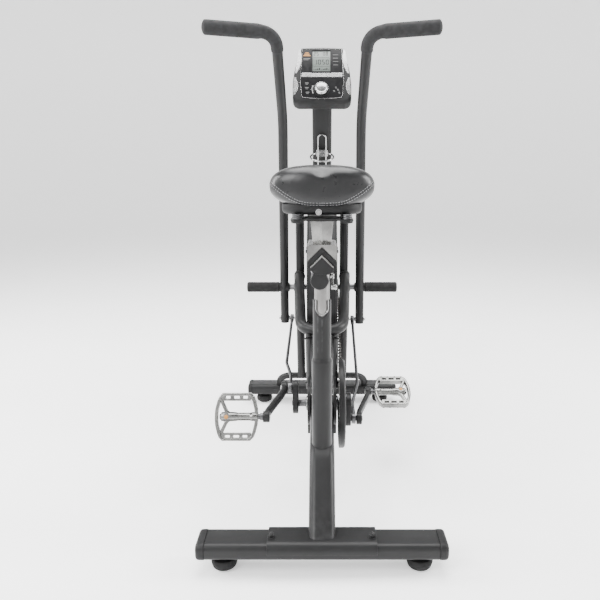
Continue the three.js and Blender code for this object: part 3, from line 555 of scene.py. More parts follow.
def loft(name, sections, sharp=40):
    """A skin over closed sections of equal length (Vectors in metres), with both ends closed."""
    n = len(sections[0])
    verts = [v for section in sections for v in section]
    faces = []
    for i in range(len(sections) - 1):
        a, b = i * n, (i + 1) * n
        faces += [(a + j, a + (j + 1) % n, b + (j + 1) % n, b + j) for j in range(n)]
    faces += [tuple(reversed(range(n))), tuple(range((len(sections) - 1) * n, len(sections) * n))]
    obj = mesh_object(name, verts, faces, sharp)
    fix_normals(obj)
    return obj


def fix_normals(obj):
    """Turns every face outwards."""
    bm = bmesh.new()
    bm.from_mesh(obj.data)
    bmesh.ops.recalc_face_normals(bm, faces=bm.faces)
    bm.to_mesh(obj.data)
    bm.free()


def trim(obj, point, normal):
    """Cuts the mesh off beyond a plane (mm) and closes the cut."""
    bm = bmesh.new()
    bm.from_mesh(obj.data)
    geometry = bm.verts[:] + bm.edges[:] + bm.faces[:]
    bmesh.ops.bisect_plane(bm, geom=geometry, plane_co=mm(*point), plane_no=Vector(normal),
        clear_outer=True)
    border = [edge for edge in bm.edges if edge.is_boundary]
    bmesh.ops.edgeloop_fill(bm, edges=border)
    bmesh.ops.recalc_face_normals(bm, faces=bm.faces)
    bm.to_mesh(obj.data)
    bm.free()
    obj.data.set_sharp_from_angle(angle=math.radians(40))
    return obj


def carve(obj, *tools):
    """Takes the tools' volume out of the object for good."""
    for tool in tools:
        mod = obj.modifiers.new("carve", "BOOLEAN")
        mod.operation = "DIFFERENCE"
        mod.solver = "EXACT"
        mod.object = tool
    name = obj.name
    whole = merge(name + "_cut", obj)
    for tool in tools:
        bpy.data.objects.remove(tool)
    whole.name = name
    for polygon in whole.data.polygons:
        polygon.use_smooth = True
    whole.data.set_sharp_from_angle(angle=math.radians(35))
    return whole


def place(obj, matrix):
    """Moves the object's mesh and keeps its origin."""
    obj.data.transform(matrix)
    return obj


def facing(outline, y):
    """Points of an (x, z) outline in mm at depth y, as Vectors in metres."""
    return [mm(x, y, z) for x, z in outline]


def wire(name, corners, radius=1.6, bends=10, sides=10):
    """A bent wire with plain ends (mm)."""
    return tube(name, corners, radius, bends, sides, 0)


def ring_skin(name, verts, sides):
    """A closed tube from rings of vertices, each ring with the same number of sides."""
    count = len(verts)
    faces = []
    for a in range(0, count, sides):
        b = (a + sides) % count
        faces += [(a + j, a + (j + 1) % sides, b + (j + 1) % sides, b + j) for j in range(sides)]
    obj = mesh_object(name, verts, faces, 80)
    fix_normals(obj)
    return obj


def wire_ring(name, radius, x, thick, centre=FAN_AXIS, steps=120, sides=8):
    """A closed ring of round wire across X (mm)."""
    verts = []
    for i in range(steps):
        a = 2 * math.pi * i / steps
        for j in range(sides):
            b = 2 * math.pi * j / sides
            reach = radius + thick * math.cos(b)
            verts.append(mm(x + thick * math.sin(b), centre[1] + reach * math.cos(a),
                centre[2] + reach * math.sin(a)))
    return ring_skin(name, verts, sides)

# ---- Stabilizers, feet and rear bracket ----
def stabilizer(node, y, half):
    """A rounded box tube across the bike."""
    section = round_rect(80, 42, 15, 8)
    obj = bar(node + "_tube", section, [(-half, y, 59), (half, y, 59)], 60, 1.2)
    return dress(obj, "satin_black", "frame", node)


def end_cap(name, side, y, start, end, node=None):
    """A moulded cap with a stepped collar and a crowned end."""
    outline = [(a / MM, b / MM) for a, b in round_rect(82, 44, 16, 8)]
    stations = [(start, 0.9), (start + 1, 0.1), (start + 2, 0), (end - 9, 0), (end - 5.5, 0.9),
        (end - 2.5, 3), (end - 0.8, 6.5), (end, 12)]
    sections = []
    for x, shrink in stations:
        sections.append([mm(side * x, y + u, 59 + v) for u, v in inset(outline, shrink)])
    obj = loft(name, sections, 60)
    return dress(obj, "black_plastic", "frame", node or ())


def foot(name, x, y, node):
    """A round rubber foot on its threaded stem, with a moulded rib."""
    profile = rounded([(0, 0), (18, 0), (20, 1.2), (28.5, 6), (31, 14), (31, 22), (28, 27.5), (14, 28.2),
        (12, 30), (12, 37.6), (0, 37.6)], 1.6, 4)
    body = lathe(name + "_pad", profile, (x, y, 0), Z_AXIS, 56, 30)
    groove = lathe(name + "_rib", [(30.6, 16.5), (31.8, 17.5), (31.8, 19.5), (30.6, 20.5)], (x, y, 0),
        Z_AXIS, 56)
    return dress(merge(name, body, groove), "rubber", "frame", node)


stabilizer("rear_stabilizer", REAR_Y, 278)
stabilizer("front_stabilizer", 450, 296)
for label, side in SIDES:
    end_cap(f"rear_end_cap_{label}", side, REAR_Y, 278.3, 300, f"rear_cap_{label}")
    end_cap(f"front_end_cap_{label}", side, 450, 284, 300)
    foot(f"rear_pad_{label}", side * 236, REAR_Y, f"rear_foot_{label}")
    foot(f"front_pad_{label}", side * 236, 450, f"front_foot_{label}")

bend = (-616, 65)
bracket_outline = [
    *arc(*bend, 15.3, 90, 180, 14), (-631.3, 59), (-636.0, 59), *arc(*bend, 20.3, 180, 90, 14),
    (-559, 85.3), (-559, 80.3),
]
bracket = plate("rear_bracket_plate", bracket_outline, "X", -130, 130, 0.9)
dress(bracket, "satin_black", "frame", "rear_bracket")
for label, side in SIDES:
    bolt = hex_bolt(f"bracket_bolt_{label}", (side * 120, -601, 85.3), Z_AXIS, 12, 7)
    dress(bolt, "satin_black", "frame")
    dome = lathe(f"bolt_dome_{label}", rounded([(0, 0), (5.4, 0), (5, 3), (2.6, 4.4), (0, 4.8)], 1, 3),
        (side * 120, -601, 93), Z_AXIS, 24)
    dress(dome, "satin_black", "frame")

# ---- Frame tubes ----
beam_points = [(0, -612, 44), (0, -440, 217), (0, -214, 262)]
beam = bar("main_beam_tube", round_rect(65, 60, 18, 10), beam_points, 90, 0)
trim(beam, (0, -500, 85.6), (0, 0, -1))
trim(beam, (0, -224, 260), Y_AXIS)
dress(beam, "satin_black", "frame", "main_beam")

wishbone = [(-84, 300, 555), (-69, -10, 466), (-62, -70, 446), (62, -70, 446), (69, -10, 466),
    (84, 300, 555)]
dress(tube("wishbone_tube", wishbone, 18, [200, 52, 52, 200], 40, 0), "satin_black", "frame", "wishbone")
dress(tube("front_hoop_tube", [(-170, 440, 70), (-170, 392, 131), (170, 392, 131), (170, 440, 70)], 12.5,
    46, 32, 0),
    "satin_black", "frame", "front_hoop")
dress(tube("top_tube_round", [(0, -406, 438.5), (0, -84, 445.7)], 20, 10, 40, 0), "satin_black", "frame",
    "top_tube")
lower = bar("lower_tube_box", round_rect(40, 38, 10, 6), [(0, -152, 226), (0, 412, 68.5)], 60, 0)
dress(lower, "satin_black", "frame", "lower_tube")
for label, side in SIDES:
    pillar = [(side * 80, 362, 140), (side * 80, FAN_Y, 330), (side * 80, FAN_Y, 850),
        (side * 16, 286, 925)]
    upright = tube(f"pillar_{label}_tube", pillar, 15.5, [260, 60], 36, 0)
    trim(upright, (side * 0.2, 280, 900), (-side, 0, 0))
    dress(upright, "satin_black", "frame", f"pillar_{label}")
    stay = [(side * 42, -66, 436), (side * 37, -168, 330), (side * 37, -190, 302)]
    dress(tube(f"stay_{label}_tube", stay, 10, 40, 28, 0), "satin_black", "frame", f"stay_{label}")

mast_foot, mast_head = Vector((0, 262, 866)), Vector((0, 135, 1180))
mast_run = (mast_head - mast_foot).normalized()
mast_lean = math.atan2(127, 314)
mast = bar("mast_box", round_rect(63, 40, 12, 8), [mast_foot, mast_head + mast_run * 6], 60, 1.0)
dress(mast, "satin_black", "frame", "mast")

plate_edge = [*arc(*CRANK_AXIS[1:], 62, 100, 250, 28), (-232, 176.5), (-188, 172.5), (-160, 228.5),
    (-160, 308.5),
    (-178, 334.5)]
for label, side in SIDES:
    low, high = sorted((side * 32.8, side * 41.8))
    hole = arc(*CRANK_AXIS[1:], 21.2, 0, 348.75, 31)
    web = plate(f"bracket_web_{label}", plate_edge, "X", low, high, 1.2, (hole,))
    dress(web, "satin_black", "frame")
    cup_profile = rounded([(10.3, 20), (20.6, 20), (20.6, 42.1), (22, 42.2), (22, 45), (19.4, 47.1),
        (13, 47.1),
        (12, 45.5), (10.3, 45.5)], 0.7, 3)
    cup = lathe(f"cup_{label}", cup_profile, CRANK_AXIS, (side, 0, 0), 64, 30)
    dress(cup, "chrome", "frame", f"bearing_cup_{label}")
shell = lathe("bracket_shell", [(21, -32.8), (24, -32.8), (24, 32.8), (21, 32.8)], CRANK_AXIS, X_AXIS, 64)
dress(shell, "satin_black", "frame", "bottom_bracket")

# ---- Seat tube ----
sleeve_profile = rounded([(0, 186), (26, 186), (26, 470), (22.5, 479), (22.5, 627), (21.8, 628), (20, 628),
    (19.4, 627), (19.4, 345), (0, 345)], 2.2, 4)
sleeve = lathe("seat_tube_sleeve", sleeve_profile, (0, POST_Y, 0), Z_AXIS, 64, 30)
notch_outline = [(15, 660), (-15, 660), *arc(0, 603, 15, 180, 360, 16)]
sleeve = carve(sleeve, plate("notch_tool", notch_outline, "Y", -470, POST_Y, 0))
dress(sleeve, "satin_black", "frame", "seat_tube")
lip = wire("notch_lip", [(-15, -448, 629), (-15.2, -446.4, 603), (0, -453.3, 586), (15.2, -446.4, 603),
    (15, -448, 629)], 0.9, [13, 13, 13], 8)
dress(lip, "silver_trim", "frame")
boss = lathe("pin_boss", rounded([(5.4, -14), (10, -14), (10, 8), (9, 10), (5.4, 10)], 0.8),
    (0, -398, PIN_Z), Y_AXIS, 40)
dress(boss, "satin_black", "frame")

# ---- Welds ----
welds = [
    weld_bead("weld_a", (0, -410, 438.6), (0, 1, 0.02), 20.5),
    weld_bead("weld_b", (0, -89, 445.5), (0, 1, 0.02), 20.5),
]
for label, side in SIDES:
    welds.append(weld_bead(f"weld_c_{label}", (side * 81.5, 285, 550.5), (0.05 * side, 1, 0.29), 18.2))
    welds.append(weld_bead(f"weld_d_{label}", (side * 41, -82, 424), (0.1 * side, 0.69, 0.72), 10.2))
    welds.append(weld_bead(f"weld_e_{label}", (side * 38, -180, 316), (0, 0.62, 0.78), 10.2))
dress(merge("frame_welds", *welds), "satin_black", "frame")

# ---- Fan, cage and axle ----
axle_profile = rounded([(0, -160), (10, -160), (10, -104), (15, -104), (15, -97), (10, -97), (10, 97),
    (15, 97),
    (15, 104), (10, 104), (10, 160), (0, 160)], 0.6, 2)
axle = lathe("fan_axle_bar", axle_profile, FAN_AXIS, X_AXIS, 48, 30)
dress(axle, "steel", "frame", "fan_axle")
for label, side in SIDES:
    peg_profile = [(0, 160.3), (10.3, 160.3), (10.3, 157), (17, 157), (19, 160)]
    for k in range(26):
        x = 164 + k * 4
        peg_profile += [(19, x), (18.2, x + 0.8), (18.2, x + 2.0), (19, x + 2.8)]
    peg_profile += [(19, 270), (18.2, 273), (16, 275.4), (13, 276), (0, 276)]
    peg = lathe(f"peg_{label}", peg_profile, FAN_AXIS, (side, 0, 0), 56, 30)
    dress(peg, "rubber", "frame", f"foot_peg_{label}")


def grille(name, side):
    """One face of the cage: wire rings carried by radial wires between a hub plate and the rim."""
    x = side * 46.5
    pieces = [wire_ring(f"{name}_r0", 326.6, side * 46.3, 2.6, steps=160)]
    for k in range(12):
        pieces.append(wire_ring(f"{name}_r{k + 1}", 92 + k * 19.2, x + side * 1.1, 1.3, steps=120, sides=6))
    for k in range(24):
        a = 2 * math.pi * (k + 0.5) / 24
        ends = [(x - side * 1.2, FAN_Y + r * math.cos(a), FAN_Z + r * math.sin(a)) for r in (72, 326)]
        pieces.append(tube(f"{name}_s{k}", ends, 1.5, 10, 6, 0))
    profile = rounded([(18, 44.2), (78, 44.2), (79, 46), (76, 48.6), (40, 49), (34, 48), (18, 48)], 1, 3)
    pieces.append(lathe(name + "_hub", profile, FAN_AXIS, (side, 0, 0), 64, 30))
    return merge(name, *pieces)


for label, side in SIDES:
    dress(grille(f"cage_wires_{label}", side), "cage_paint", "frame", f"cage_{label}")
    screws = [hex_bolt(f"cage_screw_{label}_{k}",
        (side * 48.6, FAN_Y + 58 * math.cos(k * math.pi / 2 + 0.4),
        FAN_Z + 58 * math.sin(k * math.pi / 2 + 0.4)), (side, 0, 0), 7, 3.4) for k in range(4)]
    dress(merge(f"cage_screws_{label}", *screws), "steel", "frame")
band_profile = rounded([(324, -43.7), (326.4, -43.7), (326.4, 43.7), (324, 43.7)], 0.6)
hoops = [lathe("rim_band", band_profile, FAN_AXIS, X_AXIS, 160, 30)]
hoops += [wire_ring(f"rim_hoop_{k}", 326.6, -30 + k * 15, 1.3, steps=160, sides=6) for k in range(5)]
dress(merge("cage_rim_band", *hoops), "cage_paint", "frame", "cage_rim")


def fan_blade(name, angle):
    """A pressed blade: a flat paddle with a stiffening rib and four rivets at its root."""
    turn = Matrix.Translation(mm(*FAN_AXIS)) @ Matrix.Rotation(angle, 4, "X")
    outline = [*arc(-30, 186, 6, 180, 270, 6), *arc(30, 186, 6, 270, 360, 6), *arc(24, 288, 12, 0, 90, 8),
        *arc(-24, 288, 12, 90, 180, 8)]
    paddle = plate(name + "_paddle", outline, "Z", -1.1, 1.1, 0.5)
    rib = bar(name + "_rib", round_rect(10, 4, 1.9, 5), [(0, 150, 0), (0, 292, 0)], 60, 0)
    parts = [paddle, rib]
    for x in (-10, 10):
        for y in (192, 214):
            parts.append(lathe(f"{name}_rivet_{x}_{y}", [(0, -2.4), (3, -2.2), (3.6, -1), (3.6, 1),
                (3, 2.2), (0, 2.4)],
                (x, y, 0), Z_AXIS, 16))
    return [place(part, turn) for part in parts]


blades = []
for k in range(10):
    angle = 2 * math.pi * k / 10
    blades += fan_blade(f"blade_{k}", angle)
    spoke = tube(f"spoke_{k}", [(0, 34, 0), (0, 176, 0)], 4.2, 10, 12, 0)
    blades.append(place(spoke, Matrix.Translation(mm(*FAN_AXIS)) @ Matrix.Rotation(angle, 4, "X")))
blades.append(lathe("fan_band", rounded([(167.6, -6), (172.4, -6), (172.4, 6), (167.6, 6)], 1), FAN_AXIS,
    X_AXIS, 96))
hub_profile = rounded([(10.3, -26), (18, -26), (20, -20), (40, -16), (40, 16), (20, 20), (18, 26),
    (10.3, 26)], 2)
blades.append(lathe("fan_hub", hub_profile, FAN_AXIS, X_AXIS, 64))
dress(merge("fan_rotor", *blades), "steel", "fan", "fan_wheel")

# ---- Chain drive ----
def toothed(teeth, pitch_radius, root, tip):
    """Outline of a sprocket about (0, 0), with rounded roots and slim teeth."""
    points = []
    for i in range(teeth):
        start = 2 * math.pi * i / teeth
        step = 2 * math.pi / teeth
        for share, radius in ((0.0, root), (0.12, root + 0.2), (0.3, pitch_radius), (0.42, tip),
            (0.58, tip),
                (0.7, pitch_radius), (0.88, root + 0.2)):
            points.append((radius * math.cos(start + share * step),
                radius * math.sin(start + share * step)))
    return points


def shifted(points, dy, dz):
    """An outline in (y, z) moved by dy and dz."""
    return [(y + dy, z + dz) for y, z in points]


windows = [shifted(arc(46 * math.cos(a), 46 * math.sin(a), 15, 0, 345, 23), *CRANK_AXIS[1:])
    for a in (2 * math.pi * k / 5 for k in range(5))]
ring_edge = shifted(toothed(42, 84.3, 81.2, 87.6), *CRANK_AXIS[1:])
bore = shifted(arc(0, 0, 10.3, 0, 345, 23), *CRANK_AXIS[1:])
ring = plate("chainring_disc", ring_edge, "X", 54.6, 57.4, 0.3, (bore, *windows))
dress(ring, "steel", "crank", "chainring")
small_edge = shifted(toothed(13, 25.8, 22.2, 28.4), *FAN_AXIS[1:])
small = plate("sprocket_disc", small_edge, "X", 54.4, 57.6, 0.3, (shifted(arc(0, 0, 10.3, 0, 345, 23),
    *FAN_AXIS[1:]),))
collar = lathe("sprocket_collar", rounded([(10.3, 26.3), (15, 26.3), (15, 54.5), (10.3, 54.5)], 0.8),
    FAN_AXIS,
    X_AXIS, 48)
dress(merge("sprocket", small, collar), "steel", "fan", "fan_sprocket")


def chain_path(count):
    """Evenly spaced points round the two sprockets' pitch circles, in (y, z) mm."""
    a, b = Vector((CRANK_Y, CRANK_Z)), Vector((FAN_Y, FAN_Z))
    big, little = 84.6, 26.2
    run = b - a
    heading = math.atan2(run.y, run.x)
    lean = math.asin((big - little) / run.length)
    dense = []
    for centre, radius, start, end in ((a, big, heading + math.pi / 2 - lean,
        heading + 1.5 * math.pi + lean),
            (b, little, heading - math.pi / 2 + lean, heading + math.pi / 2 - lean)):
        for k in range(41):
            t = start + (end - start) * k / 40
            dense.append(centre + radius * Vector((math.cos(t), math.sin(t))))
    lengths = [(dense[(i + 1) % len(dense)] - dense[i]).length for i in range(len(dense))]
    total, spaced, i, passed = sum(lengths), [], 0, 0.0
    for k in range(count):
        target = total * k / count
        while passed + lengths[i] < target:
            passed += lengths[i]
            i += 1
        spaced.append(dense[i].lerp(dense[(i + 1) % len(dense)], (target - passed) / lengths[i]))
    return spaced


def chain_links(name):
    """Plates and rollers of the chain, narrow and wide pairs in turn."""
    pins = chain_path(112)
    parts = []
    for k, here in enumerate(pins):
        ahead = pins[(k + 1) % len(pins)]
        turn = math.atan2(ahead.y - here.y, ahead.x - here.x)
        pitch = (ahead - here).length
        outline = [*arc(pitch, 0, 3.9, -80, 80, 5), (pitch / 2, 2.7), *arc(0, 0, 3.9, 100, 260, 5),
            (pitch / 2, -2.7)]
        spread = 2.0 if k % 2 else 2.75
        move = Matrix.Translation(mm(0, here.x, here.y)) @ Matrix.Rotation(turn, 4, "X")
        for side in (-1, 1):
            low, high = sorted((56 + side * (spread - 0.6), 56 + side * (spread + 0.15)))
            parts.append(place(plate(f"{name}_{k}_{side}", outline, "X", low, high, 0), move))
        roller = lathe(f"{name}_roller_{k}", [(0, 53.1), (1.8, 53.1), (3.6, 54.8), (3.6, 57.2),
            (1.8, 58.9), (0, 58.9)],
            (0, 0, 0), X_AXIS, 10)
        parts.append(place(roller, move))
    return merge(name, *parts)


dress(chain_links("chain_run"), "chain_steel", "frame", "chain")

heading = math.atan2(FAN_Z - CRANK_Z, FAN_Y - CRANK_Y)
guard_profile = rounded([(14, 63), (108, 63), (114, 60), (124.6, 59), (124.6, 48), (128, 48), (128, 61),
    (124.5, 65),
    (118, 66), (110, 65.2), (104, 66), (40, 66), (34, 64.8), (28, 66), (14, 66)], 1.6, 3)
guard = lathe("guard_dish", guard_profile, CRANK_AXIS, X_AXIS, 128, 30)
exit_tool = plate("guard_exit", [(90, -88), (150, -88), (150, 88), (90, 88)], "X", 47, 61, 0)
place(exit_tool, Matrix.Translation(mm(*CRANK_AXIS)) @ Matrix.Rotation(heading, 4, "X"))
guard = carve(guard, exit_tool)
dress(guard, "cage_paint", "frame", "chain_guard")
guard_screws = [hex_bolt(f"guard_screw_{k}", (65.6, CRANK_Y + 84 * math.cos(a),
    CRANK_Z + 84 * math.sin(a)), X_AXIS, 6, 2.6)
    for k, a in enumerate((0.9, 2.5, 4.1, 5.7))]
dress(merge("guard_screws", *guard_screws), "steel", "frame")

# ---- Cranks, pedals and rods ----
crank_lift = math.radians(10.5)
pin_z = {"left": CRANK_Z + 48, "right": CRANK_Z - 48}
pedal_at = {}
crank_bar = lathe("crank_spindle", rounded([(0, -68.7), (10, -68.7), (10, 68.7), (0, 68.7)], 0.8),
    CRANK_AXIS,
    X_AXIS, 48)
dress(crank_bar, "steel", "crank", "crank_axle")


def lever_outline(z, grow=0.0):
    """A pear outline round the axle and the pin at height z."""
    lift = z - CRANK_Z
    big, little = 30 + grow, 22 + grow
    lean = math.degrees(math.asin((big - little) / abs(lift)))
    up = 90 if lift > 0 else -90
    return [*arc(*CRANK_AXIS[1:], big, up + 90 - lean, up + 270 + lean, 30),
        *arc(CRANK_Y, z, little, up - 90 + lean, up + 90 - lean, 20)]


for label, side in SIDES:
    z = pin_z[label]
    pedal_y = CRANK_Y + side * 170 * math.cos(crank_lift)
    pedal_z = CRANK_Z - side * 170 * math.sin(crank_lift)
    pedal_at[label] = (side * 226, pedal_y, pedal_z)
    low, high = sorted((side * 69, side * 85))
    lever = plate(f"lever_{label}", lever_outline(z), "X", low, high, 2.4)
    pin = lathe(f"lever_pin_{label}", rounded([(0, 84), (8, 84), (8, 100.4), (7.4, 101), (0, 101)], 0.4),
        (0, CRANK_Y, z), (side, 0, 0), 32)
    boss = lathe(f"lever_boss_{label}", rounded([(0, 84), (17, 84), (16.4, 85), (12, 85.3), (0, 85.3)],
        0.3),
        CRANK_AXIS, (side, 0, 0), 40)
    dress(merge(f"lever_arm_{label}", lever, pin, boss), "satin_black", "crank", f"crank_lever_{label}")
    nut = hex_bolt(f"axle_nut_{label}", (side * 84.6, *CRANK_AXIS[1:]), (side, 0, 0), 15, 2.4, 0, False)
    dress(nut, "steel", "crank")

    path = [
        (side * 109.3, CRANK_Y, z),
        (side * 111.3, CRANK_Y + (pedal_y - CRANK_Y) * 0.18, z + (pedal_z - z) * 0.18),
        (side * 146, CRANK_Y + (pedal_y - CRANK_Y) * 0.88, z + (pedal_z - z) * 0.88),
        (side * 147, pedal_y, pedal_z),
    ]
    arm = bar(f"arm_{label}", round_rect(15, 24, 6, 8), path, [60, 60], 0)
    eye = lathe(f"arm_eye_{label}", rounded([(0, 101.3), (17, 101.3), (18, 102.5), (18, 115.8),
        (16.6, 117.3),
        (10, 117.3), (9, 116), (0, 116)], 0.8), (0, CRANK_Y, z), (side, 0, 0), 48)
    knuckle = lathe(f"arm_knuckle_{label}", rounded([(0, 138), (13.6, 138), (15, 139.6), (15, 154.4),
        (13.8, 156),
        (9, 156), (0, 156)], 0.8), (0, pedal_y, pedal_z), (side, 0, 0), 44)
    dress(merge(f"crank_arm_{label}_forging", arm, eye, knuckle), "satin_black", "crank",
        f"crank_arm_{label}")
    spindle = lathe(f"spindle_{label}", rounded([(0, 155), (9.6, 155), (9.6, 163), (7, 165), (7, 265),
        (6, 266),
        (0, 266)], 0.5), (0, pedal_y, pedal_z), (side, 0, 0), 32)
    dress(spindle, "steel", "crank")
    cap = lathe(f"pin_cap_{label}", rounded([(0, 116), (7.6, 116), (7.6, 119), (5, 120.6), (0, 121)], 0.7),
        (0, CRANK_Y, z), (side, 0, 0), 28)
    dress(cap, "chrome", "crank")
    stud = lathe(f"pedal_stud_{label}", rounded([(0, 136.4), (4.6, 136.4), (6, 137.6), (6, 139),
        (0, 139)], 0.5),
        (0, pedal_y, pedal_z), (side, 0, 0), 24)
    dress(stud, "chrome", "crank")


def pedal_frame():
    """A cast platform: two slotted end bars, two bowed side rails and a forked barrel between them."""
    parts = []
    right = [(36, -63), (46, -54), (51, -42), (56, -22), (57.5, -8), (57.5, 8), (56, 22), (51, 42),
        (46, 54), (36, 63)]
    outer = right + [(-x, -y) for x, y in right]
    verts, faces = sweep_data(round_rect(18, 9, 3, 4), [mm(x, y, 0) for x, y in inset(outer, 4.6)], True)
    rim = mesh_object("pedal_rim", verts, faces, 40)
    parts.append(rim)
    for y in (-1, 1):
        low, high = sorted((y * 41.5, y * 62.5))
        slots = []
        for x, half in ((-23, 6.5), (0, 8), (23, 6.5)):
            slots.append([(x - half, y * 47.5), (x + half, y * 47.5), (x + half, y * 55),
                (x - half, y * 55)])
        slab = [(-38, low), (38, low), (40, y * 52), (37, high), (-37, high), (-40, y * 52)]
        parts.append(plate(f"pedal_bar_{y}", slab, "Z", -8, 8, 1.2, slots))
        for x in (-32, -12, 12, 32):
            for z in (-1, 1):
                parts.append(lathe(f"pedal_stud_{x}_{y}_{z}", [(0, 7), (2.3, 7), (2.3, 10.6), (1.7, 11.2),
                    (0, 11.2)],
                    (x, y * 59.4, 0), (0, 0, z), 12))
    barrel_profile = rounded([(7.3, -56.5), (11.5, -56.5), (12, -42), (10.6, -36), (10.6, -4), (12, 2),
        (12.6, 10),
        (13, 34), (12, 36), (12, 40.3), (7.3, 40.3)], 1.2)
    parts.append(lathe("pedal_barrel", barrel_profile, (0, 0, 0), X_AXIS, 40))
    for y in (-1, 1):
        run = [(14, y * 4, 0), (27, y * 14, 0), (39, y * 40, 0), (42, y * 50, 0)]
        parts.append(bar(f"pedal_fork_{y}", round_rect(13, 9, 3, 4), run, [16, 30], 0))
    cap_profile = rounded([(0, 36), (9, 36), (9.5, 40.5), (7, 44.5), (0, 45.4)], 0.9)
    parts.append(lathe("pedal_dust_cap", cap_profile, (0, 0, 0), X_AXIS, 32))
    return merge("pedal_casting", *parts)


def pedal_marks():
    """Amber discs on the fork's two faces."""
    parts = []
    for z in (-1, 1):
        profile = rounded([(0, 11.6), (5.6, 11.6), (5.6, 13.4), (4, 14.2), (0, 14.2)], 0.5)
        parts.append(lathe(f"mark_{z}", profile, (26, 0, 0), (0, 0, z), 24))
    return merge("pedal_marks", *parts)


for label, side in SIDES:
    spin = Matrix.Rotation(0 if side > 0 else math.pi, 4, "Z")
    tilt = Matrix.Rotation(math.radians(24 if side > 0 else 70), 4, "X")
    move = Matrix.Translation(mm(*pedal_at[label])) @ tilt @ spin
    casting = place(pedal_frame(), move)
    casting.name = f"pedal_casting_{label}"
    dress(casting, "pedal_alloy", f"pedal_{label}", f"pedal_{label}")
    marks = place(pedal_marks(), move)
    marks.name = f"pedal_marks_{label}"
    dress(marks, "amber_print", f"pedal_{label}")
    hub = [lathe(f"pedal_disc_{label}_{z}", rounded([(0, 8), (10, 8), (10, 11.8), (0, 11.8)], 0.8),
        (26, 0, 0), (0, 0, z), 32)
        for z in (-1, 1)]
    disc = place(merge(f"pedal_discs_{label}", *hub), move)
    dress(disc, "pedal_alloy", f"pedal_{label}")

    # Connecting rod: an eye on the crank pin, a cranked bar and an eye beside the handle's foot.
    z = pin_z[label]
    front_z = 387
    front_y = CRANK_Y + math.sqrt(545**2 - (front_z - z) ** 2)

    def along(t, x, y1=front_y, z0=z):
        return (side * x, CRANK_Y + (y1 - CRANK_Y) * t, z0 + (front_z - z0) * t)

    shaft = tube(f"rod_shaft_{label}", [along(0.028, 93), along(0.13, 93), along(0.3, 112),
        along(0.98, 112)], 5, 60, 24, 0)
    big_eye = lathe(f"rod_big_eye_{label}", rounded([(8.3, 87.3), (16, 87.3), (16, 98.7), (8.3, 98.7)],
        1.2),
        (0, CRANK_Y, z), (side, 0, 0), 48)
    small_eye = lathe(f"rod_small_eye_{label}", rounded([(4, 106), (13, 106), (13, 118), (4, 118)], 1.2),
        (0, front_y, front_z), (side, 0, 0), 44)
    necks = []
    for t, x, grow in ((0.045, 93, 6.4), (0.955, 112, 6.4)):
        ends = [along(t - 0.018, x), along(t + 0.018, x)]
        necks.append(tube(f"rod_neck_{label}_{x}", ends, grow, 10, 24, 1.6))
    dress(merge(f"rod_{label}_forging", shaft, big_eye, small_eye, *necks), "steel", f"rod_{label}",
        f"rod_{label}")
    bolt = hex_bolt(f"rod_bolt_{label}", (side * 106, front_y, front_z), (-side, 0, 0), 10, 4, 12)
    dress(bolt, "chrome", f"rod_{label}")

